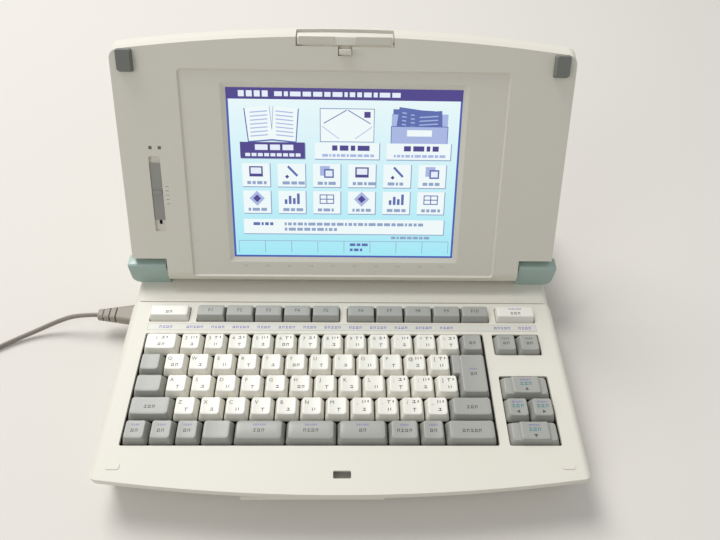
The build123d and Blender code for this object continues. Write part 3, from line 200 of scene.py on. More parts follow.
heading = (Vector(ROUTE[-1]) - Vector(ROUTE[-2])).normalized()
touch = Vector(ROUTE[-1]) + heading * COIL_LEAD
coil_x = touch.x + heading.y * COIL_OUT_R
coil_y = touch.y - heading.x * COIL_OUT_R
start_angle = math.atan2(touch.y - coil_y, touch.x - coil_x)
# the spline cuts inside its points, so they stand a little further out than the turns
swell = 1 / math.cos(math.pi / STEPS) ** 0.75
line = list(ROUTE)
line.append(tuple(Vector(ROUTE[-1]) + heading * COIL_LEAD * 0.5))
for i in range(int((TURNS_IN + TURNS_OUT) * STEPS) + 1):
    turn = i / STEPS
    angle = start_angle - turn * 2 * math.pi
    if turn < TURNS_IN:
        r = COIL_OUT_R + (COIL_IN_R - COIL_OUT_R) * turn / TURNS_IN
    else:
        r = COIL_IN_R + (COIL_OUT_R + UPPER_SPREAD - COIL_IN_R) * (turn - TURNS_IN) / TURNS_OUT
    rise = min(1.0, max(0.0, (turn - TURNS_IN + CLIMB_EARLY) / CLIMB))
    z = LAYER_Z[0] + (LAYER_Z[1] - LAYER_Z[0]) * rise * rise * (3 - 2 * rise)
    line.append((coil_x + r * swell * math.cos(angle), coil_y + r * swell * math.sin(angle), z))
# the tail leaves the upper layer and comes down to the plug, given as reach and height
TAIL = ((0.010, 0.0076), (0.020, 0.0066), (0.030, 0.0042), (0.042, 0.0030))
tail_y = coil_y - COIL_OUT_R
for reach, z in TAIL:
    line.append((coil_x - reach, tail_y, z))

route = bpy.data.curves.new("power_lead", "CURVE")
route.dimensions = "3D"
spline = route.splines.new("NURBS")
spline.points.add(len(line) - 1)
for point, place in zip(spline.points, line):
    point.co = (*place, 1.0)
    point.tilt = math.pi / 2
spline.order_u = 3
spline.use_endpoint_u = True
spline.resolution_u = 5
route.twist_mode = "Z_UP"
lead = bpy.data.objects.new("power_lead", route)
put_in_scene(lead)
bare = bpy.data.meshes.new_from_object(lead)
lead_path = [tuple(v.co) for v in bare.vertices]

# the flex's section is two lobes that meet in a groove
section = bpy.data.curves.new("lead_section", "CURVE")
outline = section.splines.new("POLY")
sweep = math.acos(-LOBE_APART / LOBE)
LOBE_STEPS = 8
points = []
for side in (1, -1):
    for i in range(LOBE_STEPS + 1):
        angle = sweep * (2 * i / LOBE_STEPS - 1)
        reach = LOBE_APART + LOBE * math.cos(angle)
        points.append((side * reach, side * LOBE * math.sin(angle)))
outline.points.add(len(points) - 1)
for point, (x, y) in zip(outline.points, points):
    point.co = (x, y, 0, 1)
outline.use_cyclic_u = True
section_object = bpy.data.objects.new("lead_section", section)
put_in_scene(section_object)
route.bevel_mode = "OBJECT"
route.bevel_object = section_object
route.use_fill_caps = True
take(lead)
bpy.ops.object.convert(target="MESH")
bpy.data.objects.remove(section_object)
bpy.ops.object.shade_smooth_by_angle(angle=math.radians(50))
lead.data.materials.append(flex_pvc)
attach(lead, "base")
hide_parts("power_cord", "cord_coil")


def dress(node, material):
    """Gives a carried-over CAD piece its finish."""
    nodes[node].data.materials.clear()
    nodes[node].data.materials.append(material)


dress("cord_connector", plug_pvc)
dress("mains_plug", plug_pvc)
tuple(ROUTE[0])


# ---------------- base shells
# Two ABS shells, screwed together from below, with the printer's housing on the rear half.
# The plastic is a warm ivory with a fine spark-eroded texture that takes off the shine.
# The texture is drawn about four times as coarse as it is, so that it shows at all.
ivory_abs = skin("ivory_abs", "#DFDBCE", 0.5, 0.9, 0.012, 0.012)
for node in ("top_case", "bottom_case", "printer_housing", "printer_cover"):
    dress(node, ivory_abs)

# the latch slot has a cup below it, open at the top, with room for the hook; its ABS is painted
# grey as the shade inside the slot
slot_painted_shade = skin("pocket_painted_shade_abs", "#B4B2AA", 0.5, 0.9, 0.012, 0.012)
POCKET = (0.0132, 0.0078, 0.0044)
POCKET_Y = -0.1376
POCKET_SINK = 0.0026                           # its rim below the highest rim
POCKET_WALL = 0.0006
bpy.ops.mesh.primitive_cube_add(size=1)
pocket = bpy.context.object
pocket.name = "latch_pocket"
bpy.ops.object.mode_set(mode="EDIT")
bpy.ops.transform.resize(value=POCKET)
pocket_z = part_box("top_case")[1].z - POCKET_SINK - POCKET[2] / 2
bpy.ops.transform.translate(value=(0, POCKET_Y, pocket_z))
shape = bmesh.from_edit_mesh(pocket.data)
for face in shape.faces:
    face.select_set(face.normal.z > 0.9)
bmesh.update_edit_mesh(pocket.data)
bpy.ops.mesh.delete(type="FACE")
bpy.ops.object.mode_set(mode="OBJECT")
walls = pocket.modifiers.new("walls", "SOLIDIFY")
walls.thickness = POCKET_WALL
walls.offset = 1.0
bpy.ops.object.modifier_apply(modifier="walls")
pocket.data.materials.append(slot_painted_shade)
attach(pocket, "base")

# a fine bead stands on the lower deck behind the keyboard deck, a dark joint's width from it
BEAD = (0.3476, 0.0018, 0.0040)
BEAD_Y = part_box("function_keys_left")[1].y + 0.0071
BEAD_SINK = 0.0021                             # its middle below the highest rim
BEAD_ROUND = 0.0006
SMOOTH = math.radians(40)                      # faces that meet at less than this blend
bpy.ops.mesh.primitive_cube_add(size=1)
bead = bpy.context.object
bead.name = "deck_bead"
bpy.ops.object.mode_set(mode="EDIT")
bpy.ops.transform.resize(value=BEAD)
bpy.ops.transform.translate(value=(0, BEAD_Y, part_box("top_case")[1].z - BEAD_SINK))
bpy.ops.mesh.bevel(offset=BEAD_ROUND, segments=3, affect="EDGES")
bpy.ops.object.mode_set(mode="OBJECT")
bpy.ops.object.shade_smooth_by_angle(angle=SMOOTH)
bead.data.materials.append(ivory_abs)
bead.select_set(False)
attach(bead, "base")

# moulded rubber feet, which hardly shine
foot_rubber = skin("black_rubber", "#2C2C2B", 0.75, 0.7, 0.05)
dress("rubber_feet", foot_rubber)
# zinc-plated steel, a bluish bright metal with soft reflections
zinc = skin("zinc_plated_steel", "#B9BAB8", 0.34, 0.5, 0.004, 0.04, metallic=1.0)
dress("case_screws", zinc)


# ---------------- inside the base
# Key frame, rubber domes, contact film and steel plate under the keys, with the boards
# below and the mains inlet at the left. Only slits of it show between the caps.

# black polycarbonate with a matt moulded skin
frame_plastic = skin("black_polycarbonate", "#1D1D1F", 0.6, 0.8, 0.02)
dress("key_frame", frame_plastic)
dress("ac_inlet", frame_plastic)
# silicone rubber is dull and slightly waxy
dome_silicone = skin("dome_silicone", "#8C8F8D", 0.55, 0.8, 0.01)
dress("dome_sheet", dome_silicone)
# polyester film with a smooth gloss, tinted by the circuits printed on it
contact_film = skin("contact_film", "#5C6A55", 0.3, 2.0, 0.005)
dress("membrane_circuit", contact_film)
dress("key_base_plate", zinc)


TRACK_SCALE = 90.0      # meshes between the tracks about 6 mm wide
TRACK_WIDTH = 0.06


def circuit_board(name, resist, track):
    """A board with copper tracks: square paths show through its skin as a paler shade."""
    material = skin(name, resist, 0.35, 1.0, 0.01)
    tree = material.node_tree
    place = add_node(tree, "TexCoord").outputs["Object"]
    bricks = add_node(tree, "TexBrick", {"Vector": place, "Scale": TRACK_SCALE,
                                         "Mortar Size": TRACK_WIDTH, "Mortar": linear(track),
                                         "Color1": linear(resist), "Color2": linear(resist)})
    tree.links.new(bricks.outputs["Color"], tree.nodes["Principled BSDF"].inputs["Base Color"])
    return material


# glass-fibre board under green solder resist, and bare brown board of paper and resin
green_board = circuit_board("green_solder_resist", "#1F5234", "#3C7A4E")
tan_board = circuit_board("phenolic_paper_board", "#8A6A42", "#A08054")
dress("main_board", green_board)
dress("power_board", tan_board)


# ---------------- key caps
# Hollow caps of PBT, ivory for the letters and grey for the rest. The letter keys have a
# shallow trough from front to rear, and the wide front keys are crowned instead. The skin is
# smooth and a little shiny on top. Each cap's stem slides in the key frame.
PITCH = 0.01905
CAP_GAP = 0.00085       # between two skirts
CAP_DEPTH = PITCH - CAP_GAP
CAP_LEAN = 0.0021       # a top's edge from the skirt's
CAP_SHIFT = 0.0002      # a top's middle behind the skirt's
CAP_CORNER = 0.0022
CAP_RIM = 0.0006
CAP_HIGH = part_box("upper_letter_keys")[1].z
CAP_LOW = CAP_HIGH - 0.008
CORNER_RISE = 0.003     # edges that rise more than this are a cap's corners
RIM_BEND = 28           # degrees between two faces that meet in a rim
ivory_cap = skin("ivory_pbt", "#E8E5DA", 0.36, 1.2, 0.006, 0.01)
grey_cap = skin("grey_pbt", "#A3A39C", 0.38, 1.2, 0.006, 0.015)


def select(kind, test):
    """In edit mode, selects the vertices or the edges that pass a test."""
    bpy.ops.mesh.select_mode(type=kind)
    bpy.ops.mesh.select_all(action="DESELECT")
    shape = bmesh.from_edit_mesh(bpy.context.object.data)
    for item in shape.verts if kind == "VERT" else shape.edges:
        item.select_set(test(item))
    shape.select_flush_mode()
    bmesh.update_edit_mesh(bpy.context.object.data)


SAME = 1e-5             # places nearer than this are one place


def model_cap(name, width, depth, dish=0.0, crown=0.0, high=CAP_HIGH, lean=CAP_LEAN,
              lean_y=CAP_LEAN, shift=CAP_SHIFT, low=CAP_LOW, corner=CAP_CORNER):
    """One cap about its own middle: a dished or crowned top, drawn down to a wider skirt."""
    top_w = width - 2 * lean
    top_d = depth - 2 * lean_y
    bpy.ops.mesh.primitive_grid_add(x_subdivisions=8, y_subdivisions=6, size=1)
    model = bpy.context.object
    model.name = name
    bpy.ops.object.mode_set(mode="EDIT")
    bpy.ops.transform.resize(value=(top_w, top_d, 1))
    bpy.ops.transform.translate(value=(0, shift, high))
    grid = bmesh.from_edit_mesh(model.data)
    xs = sorted({round(v.co.x, 6) for v in grid.verts})
    ys = sorted({round(v.co.y, 6) for v in grid.verts})
    if dish:
        for x in xs[1:-1]:
            select("VERT", lambda v, x=x: abs(v.co.x - x) < SAME)
            bpy.ops.transform.translate(value=(0, 0, -dish * (1 - (2 * x / top_w) ** 2)))
    if crown:
        for y in ys:
            select("VERT", lambda v, y=y: abs(v.co.y - y) < SAME)
            drop = crown * (2 * (y - shift) / top_d) ** 2
            bpy.ops.transform.translate(value=(0, 0, -drop))
    bpy.ops.mesh.select_mode(type="EDGE")
    bpy.ops.mesh.select_all(action="DESELECT")
    bpy.ops.mesh.select_non_manifold()
    bpy.ops.mesh.extrude_region_move(TRANSFORM_OT_translate={"value": (0, -shift, low - high)})
    bpy.ops.transform.resize(value=(width / top_w, depth / top_d, 0), center_override=(0, 0, low))
    bpy.ops.mesh.edge_face_add()

    def is_corner(edge):
        a, b = sorted((v.co for v in edge.verts), key=lambda co: co.z)
        return (b.z - a.z > CORNER_RISE and abs(a.x) > width / 2 - SAME
                and abs(a.y) > depth / 2 - SAME)

    select("EDGE", is_corner)
    bpy.ops.mesh.bevel(offset=corner, segments=4, affect="EDGES")
    rim_low = high - dish - crown - 0.0001

    def is_rim(edge):
        return (len(edge.link_faces) == 2 and edge.calc_face_angle() > math.radians(RIM_BEND)
                and all(v.co.z > rim_low for v in edge.verts))

    select("EDGE", is_rim)
    bpy.ops.mesh.bevel(offset=CAP_RIM, segments=3, affect="EDGES")
    bpy.ops.mesh.select_all(action="SELECT")
    bpy.ops.mesh.normals_make_consistent(inside=False)
    bpy.ops.object.mode_set(mode="OBJECT")
    bpy.ops.object.shade_smooth_by_angle(angle=SMOOTH)
    model.select_set(False)
    return model


def copy_at(model, x, y, material):
    """A copy of a modelled piece with its own mesh, moved in that mesh, in a material."""
    piece = model.copy()
    piece.data = model.data.copy()
    piece.data.transform(Matrix.Translation((x, y, 0)))
    piece.data.materials.append(material)
    put_in_scene(piece)
    return piece


def joined(name, pieces):
    """Several objects as one, under one name."""
    bpy.ops.object.select_all(action="DESELECT")
    for piece in pieces:
        piece.select_set(True)
    bpy.context.view_layer.objects.active = pieces[0]
    if len(pieces) > 1:
        bpy.ops.object.join()
    result = bpy.context.object
    result.name = name
    result.select_set(False)
    return result


rows = {}


def stand_for(node, name, pieces, middles):
    """Several caps as one, to stand for a CAD piece that moves on its own, and their middles."""
    caps = joined(name, pieces)
    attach(caps, node)
    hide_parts(node)
    rows[node] = (caps, middles)


def middle_of(node):
    """Where the middle of a CAD piece is, seen from above."""
    low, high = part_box(node)
    return (low.x + high.x) / 2, (low.y + high.y) / 2


LETTER_DISH = 0.0005        # depth of a letter key's trough
SPACE_CROWN = 0.0007        # fall of a front key's edges from its middle
cap_models = {}


def cap_model(units, style):
    """The one model of each width and style of cap, made when first asked for."""
    key = (units, style)
    if key not in cap_models:
        width = units * PITCH - CAP_GAP
        if style == "crown":
            cap_models[key] = model_cap("cap_model", width, CAP_DEPTH, crown=SPACE_CROWN)
        else:
            cap_models[key] = model_cap("cap_model", width, CAP_DEPTH, dish=LETTER_DISH)
    return cap_models[key]


def cap_row(node, widths, colours, style="dish"):
    """Replaces a row of CAD caps, from its left edge on."""
    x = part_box(node)[0].x - CAP_GAP / 2
    y = middle_of(node)[1]
    made = []
    middles = []
    for units, colour in zip(widths, colours):
        middles.append((x + units * PITCH / 2, y))
        made.append(copy_at(cap_model(units, style), *middles[-1],
                            grey_cap if colour == "g" else ivory_cap))
        x += units * PITCH
    name = node.replace("_keys", "").replace("_key", "") + "_caps"
    stand_for(node, name, made, middles)


# widths are in key pitches, from the left; i is an ivory cap and g a grey one
cap_row("number_row_keys", [1.5] + [1] * 13, "i" * 13 + "g")
cap_row("upper_letter_keys", [1] * 13, "g" + "i" * 12)
cap_row("home_letter_keys", [1.25] + [1] * 12, "g" + "i" * 12)
cap_row("lower_letter_keys", [1] * 11, "i" * 11)
cap_row("shift_key_left", [1.75], "g")
cap_row("shift_key_right", [1.75], "g")
cap_row("space_keys", [2, 2, 2], "ggg", "crown")
cap_row("confirm_key", [2], "g")
for node in ("insert_key", "delete_key", "left_key", "right_key"):
    cap_row(node, [1], "g")

# the bottom row has the space keys in its middle, so it is laid out in two runs
low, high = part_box("bottom_row_keys")
made = []
middles = []
for start, widths in ((low.x - CAP_GAP / 2, (1, 1, 1, 1.25)),
                      (high.x + CAP_GAP / 2 - 2.25 * PITCH, (1.25, 1))):
    x = start
    for units in widths:
        middles.append((x + units * PITCH / 2, (low.y + high.y) / 2))
        made.append(copy_at(cap_model(units, "dish"), *middles[-1], grey_cap))
        x += units * PITCH
stand_for("bottom_row_keys", "bottom_row_caps", made, middles)

# the function keys and the two end keys are shallow and flat, and their tops are set back
FN_PITCH = 0.0241
FN_LEAN = 0.0009
FN_CORNER = 0.0011
END_LEAN = 0.0010
END_CORNER = 0.0014
SET_BACK = 0.0012
low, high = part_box("function_keys_left")
fn_model = model_cap("fn_model", FN_PITCH - CAP_GAP, high.y - low.y, lean=FN_LEAN,
                     shift=SET_BACK, corner=FN_CORNER)
for node in ("function_keys_left", "function_keys_right"):
    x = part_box(node)[0].x - CAP_GAP / 2
    middles = [(x + (i + 0.5) * FN_PITCH, middle_of(node)[1]) for i in range(5)]
    made = [copy_at(fn_model, *middle, grey_cap) for middle in middles]
    stand_for(node, node.replace("_keys", "_caps"), made, middles)
for node in ("power_key", "paper_feed_key"):
    low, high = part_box(node)
    cap = model_cap(node.replace("_key", "_cap"), high.x - low.x, high.y - low.y,
                    lean=END_LEAN, shift=SET_BACK, corner=END_CORNER)
    cap.data.transform(Matrix.Translation((*middle_of(node), 0)))
    cap.data.materials.append(ivory_cap)
    stand_for(node, cap.name, [cap], [middle_of(node)])

# the enter key is two rows deep, with a low shoulder beside its rear half
STEP_DROP = 0.0026
SHOULDER_UNDER = 0.003      # how far the shoulder runs in under the main part
SHOULDER_LEAN = 0.0006
SHOULDER_CORNER = 0.0008
low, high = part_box("enter_key")
enter_w = 1.25 * PITCH - CAP_GAP
middle = (high.x - enter_w / 2, (low.y + high.y) / 2)
main = model_cap("enter_main", enter_w, high.y - low.y, dish=LETTER_DISH)
main.data.transform(Matrix.Translation((*middle, 0)))
shoulder_w = high.x - enter_w - low.x + SHOULDER_UNDER
shoulder = model_cap("enter_shoulder", shoulder_w, CAP_DEPTH, high=CAP_HIGH - STEP_DROP,
                     lean=SHOULDER_LEAN, lean_y=SHOULDER_LEAN, shift=0, corner=SHOULDER_CORNER)
shoulder_place = (low.x + shoulder_w / 2, high.y - CAP_DEPTH / 2, 0)
shoulder.data.transform(Matrix.Translation(shoulder_place))
for piece in (main, shoulder):
    piece.data.materials.append(grey_cap)
stand_for("enter_key", "enter_cap", [main, shoulder], [middle])

# the up and down keys are two wide, with low shoulders and a raised middle
RAISED_UNITS = 1.22
RAISED_LEAN = (0.0013, 0.0007)
RAISED_CORNER = 0.0012
RAISED_OUT = 0.0012         # deeper than the low part's top by this
RAISED_SINK = 0.0006        # the raised part starts this far inside the low one
arrow_step = CAP_HIGH - STEP_DROP
raised_depth = CAP_DEPTH - 2 * CAP_LEAN + RAISED_OUT
wide_low = model_cap("arrow_low", 2 * PITCH - CAP_GAP, CAP_DEPTH, high=arrow_step)
wide_top = model_cap("arrow_top", RAISED_UNITS * PITCH, raised_depth, dish=LETTER_DISH,
                     lean=RAISED_LEAN[0], lean_y=RAISED_LEAN[1], corner=RAISED_CORNER,
                     low=arrow_step - RAISED_SINK)
for node in ("up_key", "down_key"):
    made = [copy_at(part, *middle_of(node), grey_cap) for part in (wide_low, wide_top)]
    stand_for(node, node.replace("_key", "_cap"), made, [middle_of(node)])

for model in [*cap_models.values(), fn_model, wide_low, wide_top]:
    bpy.data.objects.remove(model)


# ---------------- key legends
# Printed by dye that sinks into the cap, so they are flush and as matt as the cap. Letters
# and figures are plain. In place of words there are rows of small blocks, one for each sign.
def ink(name, shade):
    """A dull dye with a faint mottle."""
    return skin(name, shade, 0.5, 1.0, 0.0, 0.05)


grey_ink = ink("grey_dye", "#4B4B4A")
violet_ink = ink("violet_dye", "#6F6AB8")
teal_ink = ink("teal_dye", "#3D8388")
ABOVE = 0.003           # where marks are made, before they are laid down on the caps
PRINT_LIFT = 0.00005


def bar(x, y, width, height, turn=0.0):
    """In edit mode, adds one flat rectangle about a place."""
    bpy.ops.mesh.primitive_plane_add(size=1, location=(x, y, 0))
    bpy.ops.transform.resize(value=(width, height, 1), center_override=(x, y, 0))
    if turn:
        bpy.ops.transform.rotate(value=turn, orient_axis="Z", center_override=(x, y, 0))


def bars(name, places, material, z=0.0):
    """One flat mesh of bars, each given as x, y, width, height and perhaps a turn."""
    mesh = bpy.data.meshes.new(name)
    piece = bpy.data.objects.new(name, mesh)
    put_in_scene(piece)
    take(piece)
    bpy.ops.object.mode_set(mode="EDIT")
    for place in places:
        bar(*place)
    bpy.ops.object.mode_set(mode="OBJECT")
    piece.select_set(False)
    mesh.transform(Matrix.Translation((0, 0, z)))
    mesh.materials.append(material)
    return piece


def letters(text, x, y, size, material):
    """A flat letter or figure, centred on a place, as a mesh."""
    bpy.ops.object.select_all(action="DESELECT")
    bpy.ops.object.text_add()
    piece = bpy.context.object
    piece.data.body = text
    piece.data.size = size
    piece.data.align_x = "CENTER"
    piece.data.align_y = "CENTER"
    piece.data.resolution_u = 2
    bpy.ops.object.convert(target="MESH")
    piece.data.transform(Matrix.Translation((x, y, 0)))
    piece.data.materials.clear()
    piece.data.materials.append(material)
    return piece


def print_on(name, marks, node):
    """Lays flat marks on a CAD piece's new caps, a hair above their surface."""
    printed = joined(name, marks)
    printed.data.transform(Matrix.Translation((0, 0, CAP_HIGH + ABOVE)))
    wrap = printed.modifiers.new("lay", "SHRINKWRAP")
    wrap.wrap_method = "PROJECT"
    wrap.use_project_z = True
    wrap.use_negative_direction = True
    wrap.use_positive_direction = False
    wrap.target = rows[node][0]
    wrap.offset = PRINT_LIFT
    take(printed)
    bpy.ops.object.modifier_apply(modifier="lay")
    printed.select_set(False)
    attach(printed, node)


MARK = 0.00055          # stroke of a short plain mark
BLOCK_PITCH = 1.25      # from block to block, in their own size
BLOCK_STROKE = 0.2


def blocks(x, y, count, size):
    """A row of small signs of a few strokes each, centred on a place, in place of a word."""
    strokes = []
    thin = size * BLOCK_STROKE
    for k in range(count):
        middle = x + (k - (count - 1) / 2) * size * BLOCK_PITCH
        kind = (k * 2 + count) % 3
        strokes.append((middle, y + size * 0.38, size * 0.9, thin))
        if kind != 1:
            strokes.append((middle, y - size * 0.38, size, thin))
        strokes.append((middle - size * (0.3 if kind else 0.05), y - size * 0.05, thin, size))
        if kind:
            strokes.append((middle + size * 0.25, y - size * 0.1, thin, size * 0.8))
    return strokes


def second_mark(x, y, kind):
    """A few little strokes in place of a cap's other legends."""
    if kind == 0:
        return [(x, y + 0.0009, 0.0026, MARK), (x - 0.0002, y - 0.0005, MARK, 0.0024)]
    if kind == 1:
        return [(x, y + 0.0009, 0.0022, MARK), (x, y - 0.0009, 0.0028, MARK),
                (x + 0.0004, y, MARK, 0.0018)]
    return [(x - 0.0009, y, MARK, 0.0026), (x + 0.0009, y + 0.0002, MARK, 0.0022)]


LETTER_SIZE = 0.0042
WORD_SIZE = 0.0024
LINE_SIZE = 0.0013


def letter_legends(name, node, text, first=0, crowded=False, worded=()):
    """A letter at the upper left of each cap and a plain mark at its lower right.

    A crowded row has two more marks at the upper right, as the punctuation keys do. The
    worded caps have two blocks at the lower right.
    """
    marks = []
    strokes = []
    for i, letter in enumerate(text):
        x, y = rows[node][1][first + i]
        marks.append(letters(letter, x - 0.0038, y + 0.0028, LETTER_SIZE, grey_ink))
        if i in worded:
            strokes += blocks(x + 0.0006, y - 0.0028, 2, 0.0025)
        else:
            strokes += second_mark(x + 0.0014, y - 0.0028, i % 3)
        if crowded or not letter.isalpha():
            strokes += second_mark(x + 0.0012, y + 0.0036, (i + 1) % 3)
            strokes.append((x + 0.0044, y + 0.0038, 0.0009, 0.0018))
    marks.append(bars("strokes", strokes, grey_ink))
    print_on(name, marks, node)


def word_bars(name, node, words, line=violet_ink, line_words=4):
    """Blocks in place of words: a fine coloured line above a row of grey ones.

    The words are given as the number of the cap and how many blocks its main row has.
    """
    upper = []
    lower = []
    for i, count in words:
        x, y = rows[node][1][i]
        upper += blocks(x, y + 0.0038, line_words, LINE_SIZE)
        lower += blocks(x, y - 0.0006, count, WORD_SIZE)
    print_on(name, [bars("upper", upper, line), bars("lower", lower, grey_ink)], node)


letter_legends("number_row_legends", "number_row_keys", "1234567890-^\\", crowded=True,
               worded=(0, 5))
word_bars("clear_legend", "number_row_keys", ((13, 2),), grey_ink, 0)
letter_legends("upper_row_legends", "upper_letter_keys", "QWERTYUIOP@[", 1, worded=(0, 5))
letter_legends("home_row_legends", "home_letter_keys", "ASDFGHJKL;:]", 1, worded=(5,))
letter_legends("lower_row_legends", "lower_letter_keys", "ZXCVBNM,./_")
word_bars("space_legends", "space_keys", ((0, 3), (1, 4), (2, 2)), line_words=6)
word_bars("bottom_row_legends", "bottom_row_keys", ((0, 2), (1, 2), (2, 2), (4, 4), (5, 2)))
word_bars("insert_legend", "insert_key", ((0, 2),), grey_ink)
word_bars("delete_legend", "delete_key", ((0, 2),), grey_ink)
word_bars("enter_legend", "enter_key", ((0, 2),))
for name, node, count in (("shift_left", "shift_key_left", 3),
                          ("shift_right", "shift_key_right", 3),
                          ("confirm", "confirm_key", 5), ("power", "power_key", 2)):
    word_bars(name + "_legend", node, ((0, count),), grey_ink, 0)
word_bars("paper_feed_legend", "paper_feed_key", ((0, 3),), line_words=7)
FN_LETTER = 0.0046
for side, node in enumerate(("function_keys_left", "function_keys_right")):
    marks = [letters(f"F{side * 5 + i + 1}", x, y + SET_BACK, FN_LETTER, grey_ink)
             for i, (x, y) in enumerate(rows[node][1])]
    print_on(node.replace("_keys", "_legends"), marks, node)


ARROW_R = 0.0017


def arrow(x, y, turn):
    """A small solid triangle that points the way the cursor goes."""
    bpy.ops.object.select_all(action="DESELECT")
    bpy.ops.mesh.primitive_circle_add(vertices=3, radius=ARROW_R, fill_type="NGON")
    piece = bpy.context.object
    piece.data.transform(Matrix.Translation((x, y, 0)) @ Matrix.Rotation(turn, 4, "Z"))
    piece.data.materials.append(grey_ink)
    return piece


for node, turn in (("up_key", 0), ("down_key", math.pi), ("left_key", math.pi / 2),
                   ("right_key", -math.pi / 2)):
    x, y = rows[node][1][0]
    marks = [bars("upper", blocks(x, y + 0.0044, 5, LINE_SIZE), violet_ink),
             bars("lower", blocks(x, y + 0.0010, 3, 0.0026), teal_ink),
             arrow(x, y - 0.0037, turn)]
    print_on(node.replace("_key", "_legend"), marks, node)


# ---------------- deck print
# A thin printed film is laid in front of the function keys, with a fine outline and a row of
# violet blocks for each key in front of it. It is a little greyer and smoother than the case.
strip_film = skin("printed_film", "#D3D1C6", 0.4, 3.0, 0.002, 0.01)
film_edge = ink("film_outline", "#A9A79F")
pale_violet = ink("pale_violet_print", "#6C66C0")
DECK_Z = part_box("top_case")[1].z - 0.0005      # just below the highest rim
STRIP_HALF = 0.1620
STRIP_DEPTH = 0.0064
STRIP_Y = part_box("number_row_keys")[1].y + 0.0077
OUTLINE = 0.00022
FILM_Z = DECK_Z + 0.00006
FILM_PRINT_Z = DECK_Z + 0.00009
STRIP_BLOCK = 0.0023
sheet = [bars("film", [(0, STRIP_Y, 2 * STRIP_HALF, STRIP_DEPTH)], strip_film, FILM_Z)]
lines = [(0, STRIP_Y + side * STRIP_DEPTH / 2, 2 * STRIP_HALF, OUTLINE) for side in (-1, 1)]
lines += [(side * STRIP_HALF, STRIP_Y, OUTLINE, STRIP_DEPTH) for side in (-1, 1)]
sheet.append(bars("outline", lines, film_edge, FILM_PRINT_Z))
words = []
over = rows["number_row_keys"][1][:13] + rows["insert_key"][1] + rows["delete_key"][1]
for i, (x, y) in enumerate(over):
    words += blocks(x, STRIP_Y, 4 + i % 2, STRIP_BLOCK)
sheet.append(bars("words", words, pale_violet, FILM_PRINT_Z))
strip = joined("function_strip", sheet)
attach(strip, "base")


# ---------------- hinge
# Each knuckle is a moulding of grey-green ABS, screwed to the deck, with a steel pin that
# runs into the lid's bearing. Its mould was polished, so it shines more than the case.
teal_abs = skin("grey_green_abs", "#A2B8AF", 0.34, 0.9, 0.008, 0.02, coat=0.3)
dress("hinge_knuckles", teal_abs)
dress("hinge_pins", zinc)
SHARP = 35              # degrees between two faces that meet in an edge to round


def softened(node, name, width):
    """A copy of a CAD piece's mesh with its sharp edges rounded, to stand for it."""
    bpy.ops.object.select_all(action="DESELECT")
    piece = nodes[node].copy()
    piece.data = nodes[node].data.copy()
    piece.parent = None
    piece.name = name
    piece.matrix_world = Matrix.Identity(4)
    put_in_scene(piece)
    take(piece)
    bpy.ops.object.mode_set(mode="EDIT")
    bpy.ops.mesh.select_all(action="SELECT")
    bpy.ops.mesh.remove_doubles(threshold=SAME)
    bpy.ops.mesh.dissolve_limited(angle_limit=math.radians(1))
    bpy.ops.object.mode_set(mode="OBJECT")
    rounding = piece.modifiers.new("round", "BEVEL")
    rounding.width = width
    rounding.segments = 3
    rounding.limit_method = "ANGLE"
    rounding.angle_limit = math.radians(SHARP)
    bpy.ops.object.modifier_apply(modifier="round")
    bpy.ops.object.shade_smooth_by_angle(angle=SMOOTH)
    piece.select_set(False)
    return piece


knuckles = softened("hinge_knuckles", "hinge_knuckle_covers", width=0.0008)
# a dark joint's width is left between each knuckle and the lid
JOINT = 0.0006
END_BAND = 0.0012       # all of a knuckle's rounded inner end lies within this
inner = min(abs(v.co.x) for v in knuckles.data.vertices) + END_BAND
take(knuckles)
bpy.ops.object.mode_set(mode="EDIT")
for side in (-1, 1):
    select("VERT", lambda v, side=side: 0 < side * v.co.x < inner)
    bpy.ops.transform.translate(value=(side * JOINT, 0, 0))
bpy.ops.object.mode_set(mode="OBJECT")
knuckles.select_set(False)
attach(knuckles, "base")
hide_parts("hinge_knuckles")


# ---------------- lid
# Two shells of the same ABS as the base, screwed together from behind. The front one is a
# shade greyer, and has a sunk panel round the screen.
lid_abs = skin("warm_grey_abs", "#DCD8CA", 0.5, 0.9, 0.012, 0.012)
dress("lid_front_bezel", lid_abs)
dress("lid_back_shell", ivory_abs)
dress("lid_screws", zinc)
# moulded rubber, matt and a little dusty
bumper_rubber = skin("grey_rubber", "#757771", 0.7, 0.8, 0.03)
dress("lid_bumpers", bumper_rubber)
# ABS that fingers have worn a little smoother
knob_abs = skin("mid_grey_abs", "#96958E", 0.4, 0.9, 0.01)
dress("contrast_knob", knob_abs)
dress("latch_bar", ivory_abs)

hinge = next(j for j in frame["joints"] if j["name"] == "lid_hinge")
lean = math.radians(180 + hinge["range_deg"][0])
lid_place = Matrix.Translation(hinge["pos_m"]) @ Matrix.Rotation(lean, 4, "X")

# the sunk panel's edge is a slope, which catches the light along its lower side
PANEL = (0.2582, 0.1702)
PANEL_MID = 0.0787
PANEL_TOP = 0.00803     # a hair above the lid's face
PANEL_CORNER = 0.003
EDGE_SLOPE = 0.0013
EDGE_FALL = 0.00158
bpy.ops.mesh.primitive_plane_add(size=1)
panel_edge = bpy.context.object
panel_edge.name = "panel_edge"
bpy.ops.object.mode_set(mode="EDIT")
bpy.ops.transform.resize(value=(*PANEL, 1))
bpy.ops.transform.translate(value=(0, PANEL_MID, PANEL_TOP))
bpy.ops.mesh.select_all(action="SELECT")
bpy.ops.mesh.bevel(offset=PANEL_CORNER, segments=4, affect="VERTICES")
bpy.ops.mesh.select_all(action="SELECT")
bpy.ops.mesh.inset(thickness=EDGE_SLOPE)
bpy.ops.transform.translate(value=(0, 0, -EDGE_FALL))
bpy.ops.mesh.delete(type="FACE")
bpy.ops.object.mode_set(mode="OBJECT")
panel_edge.data.transform(lid_place)
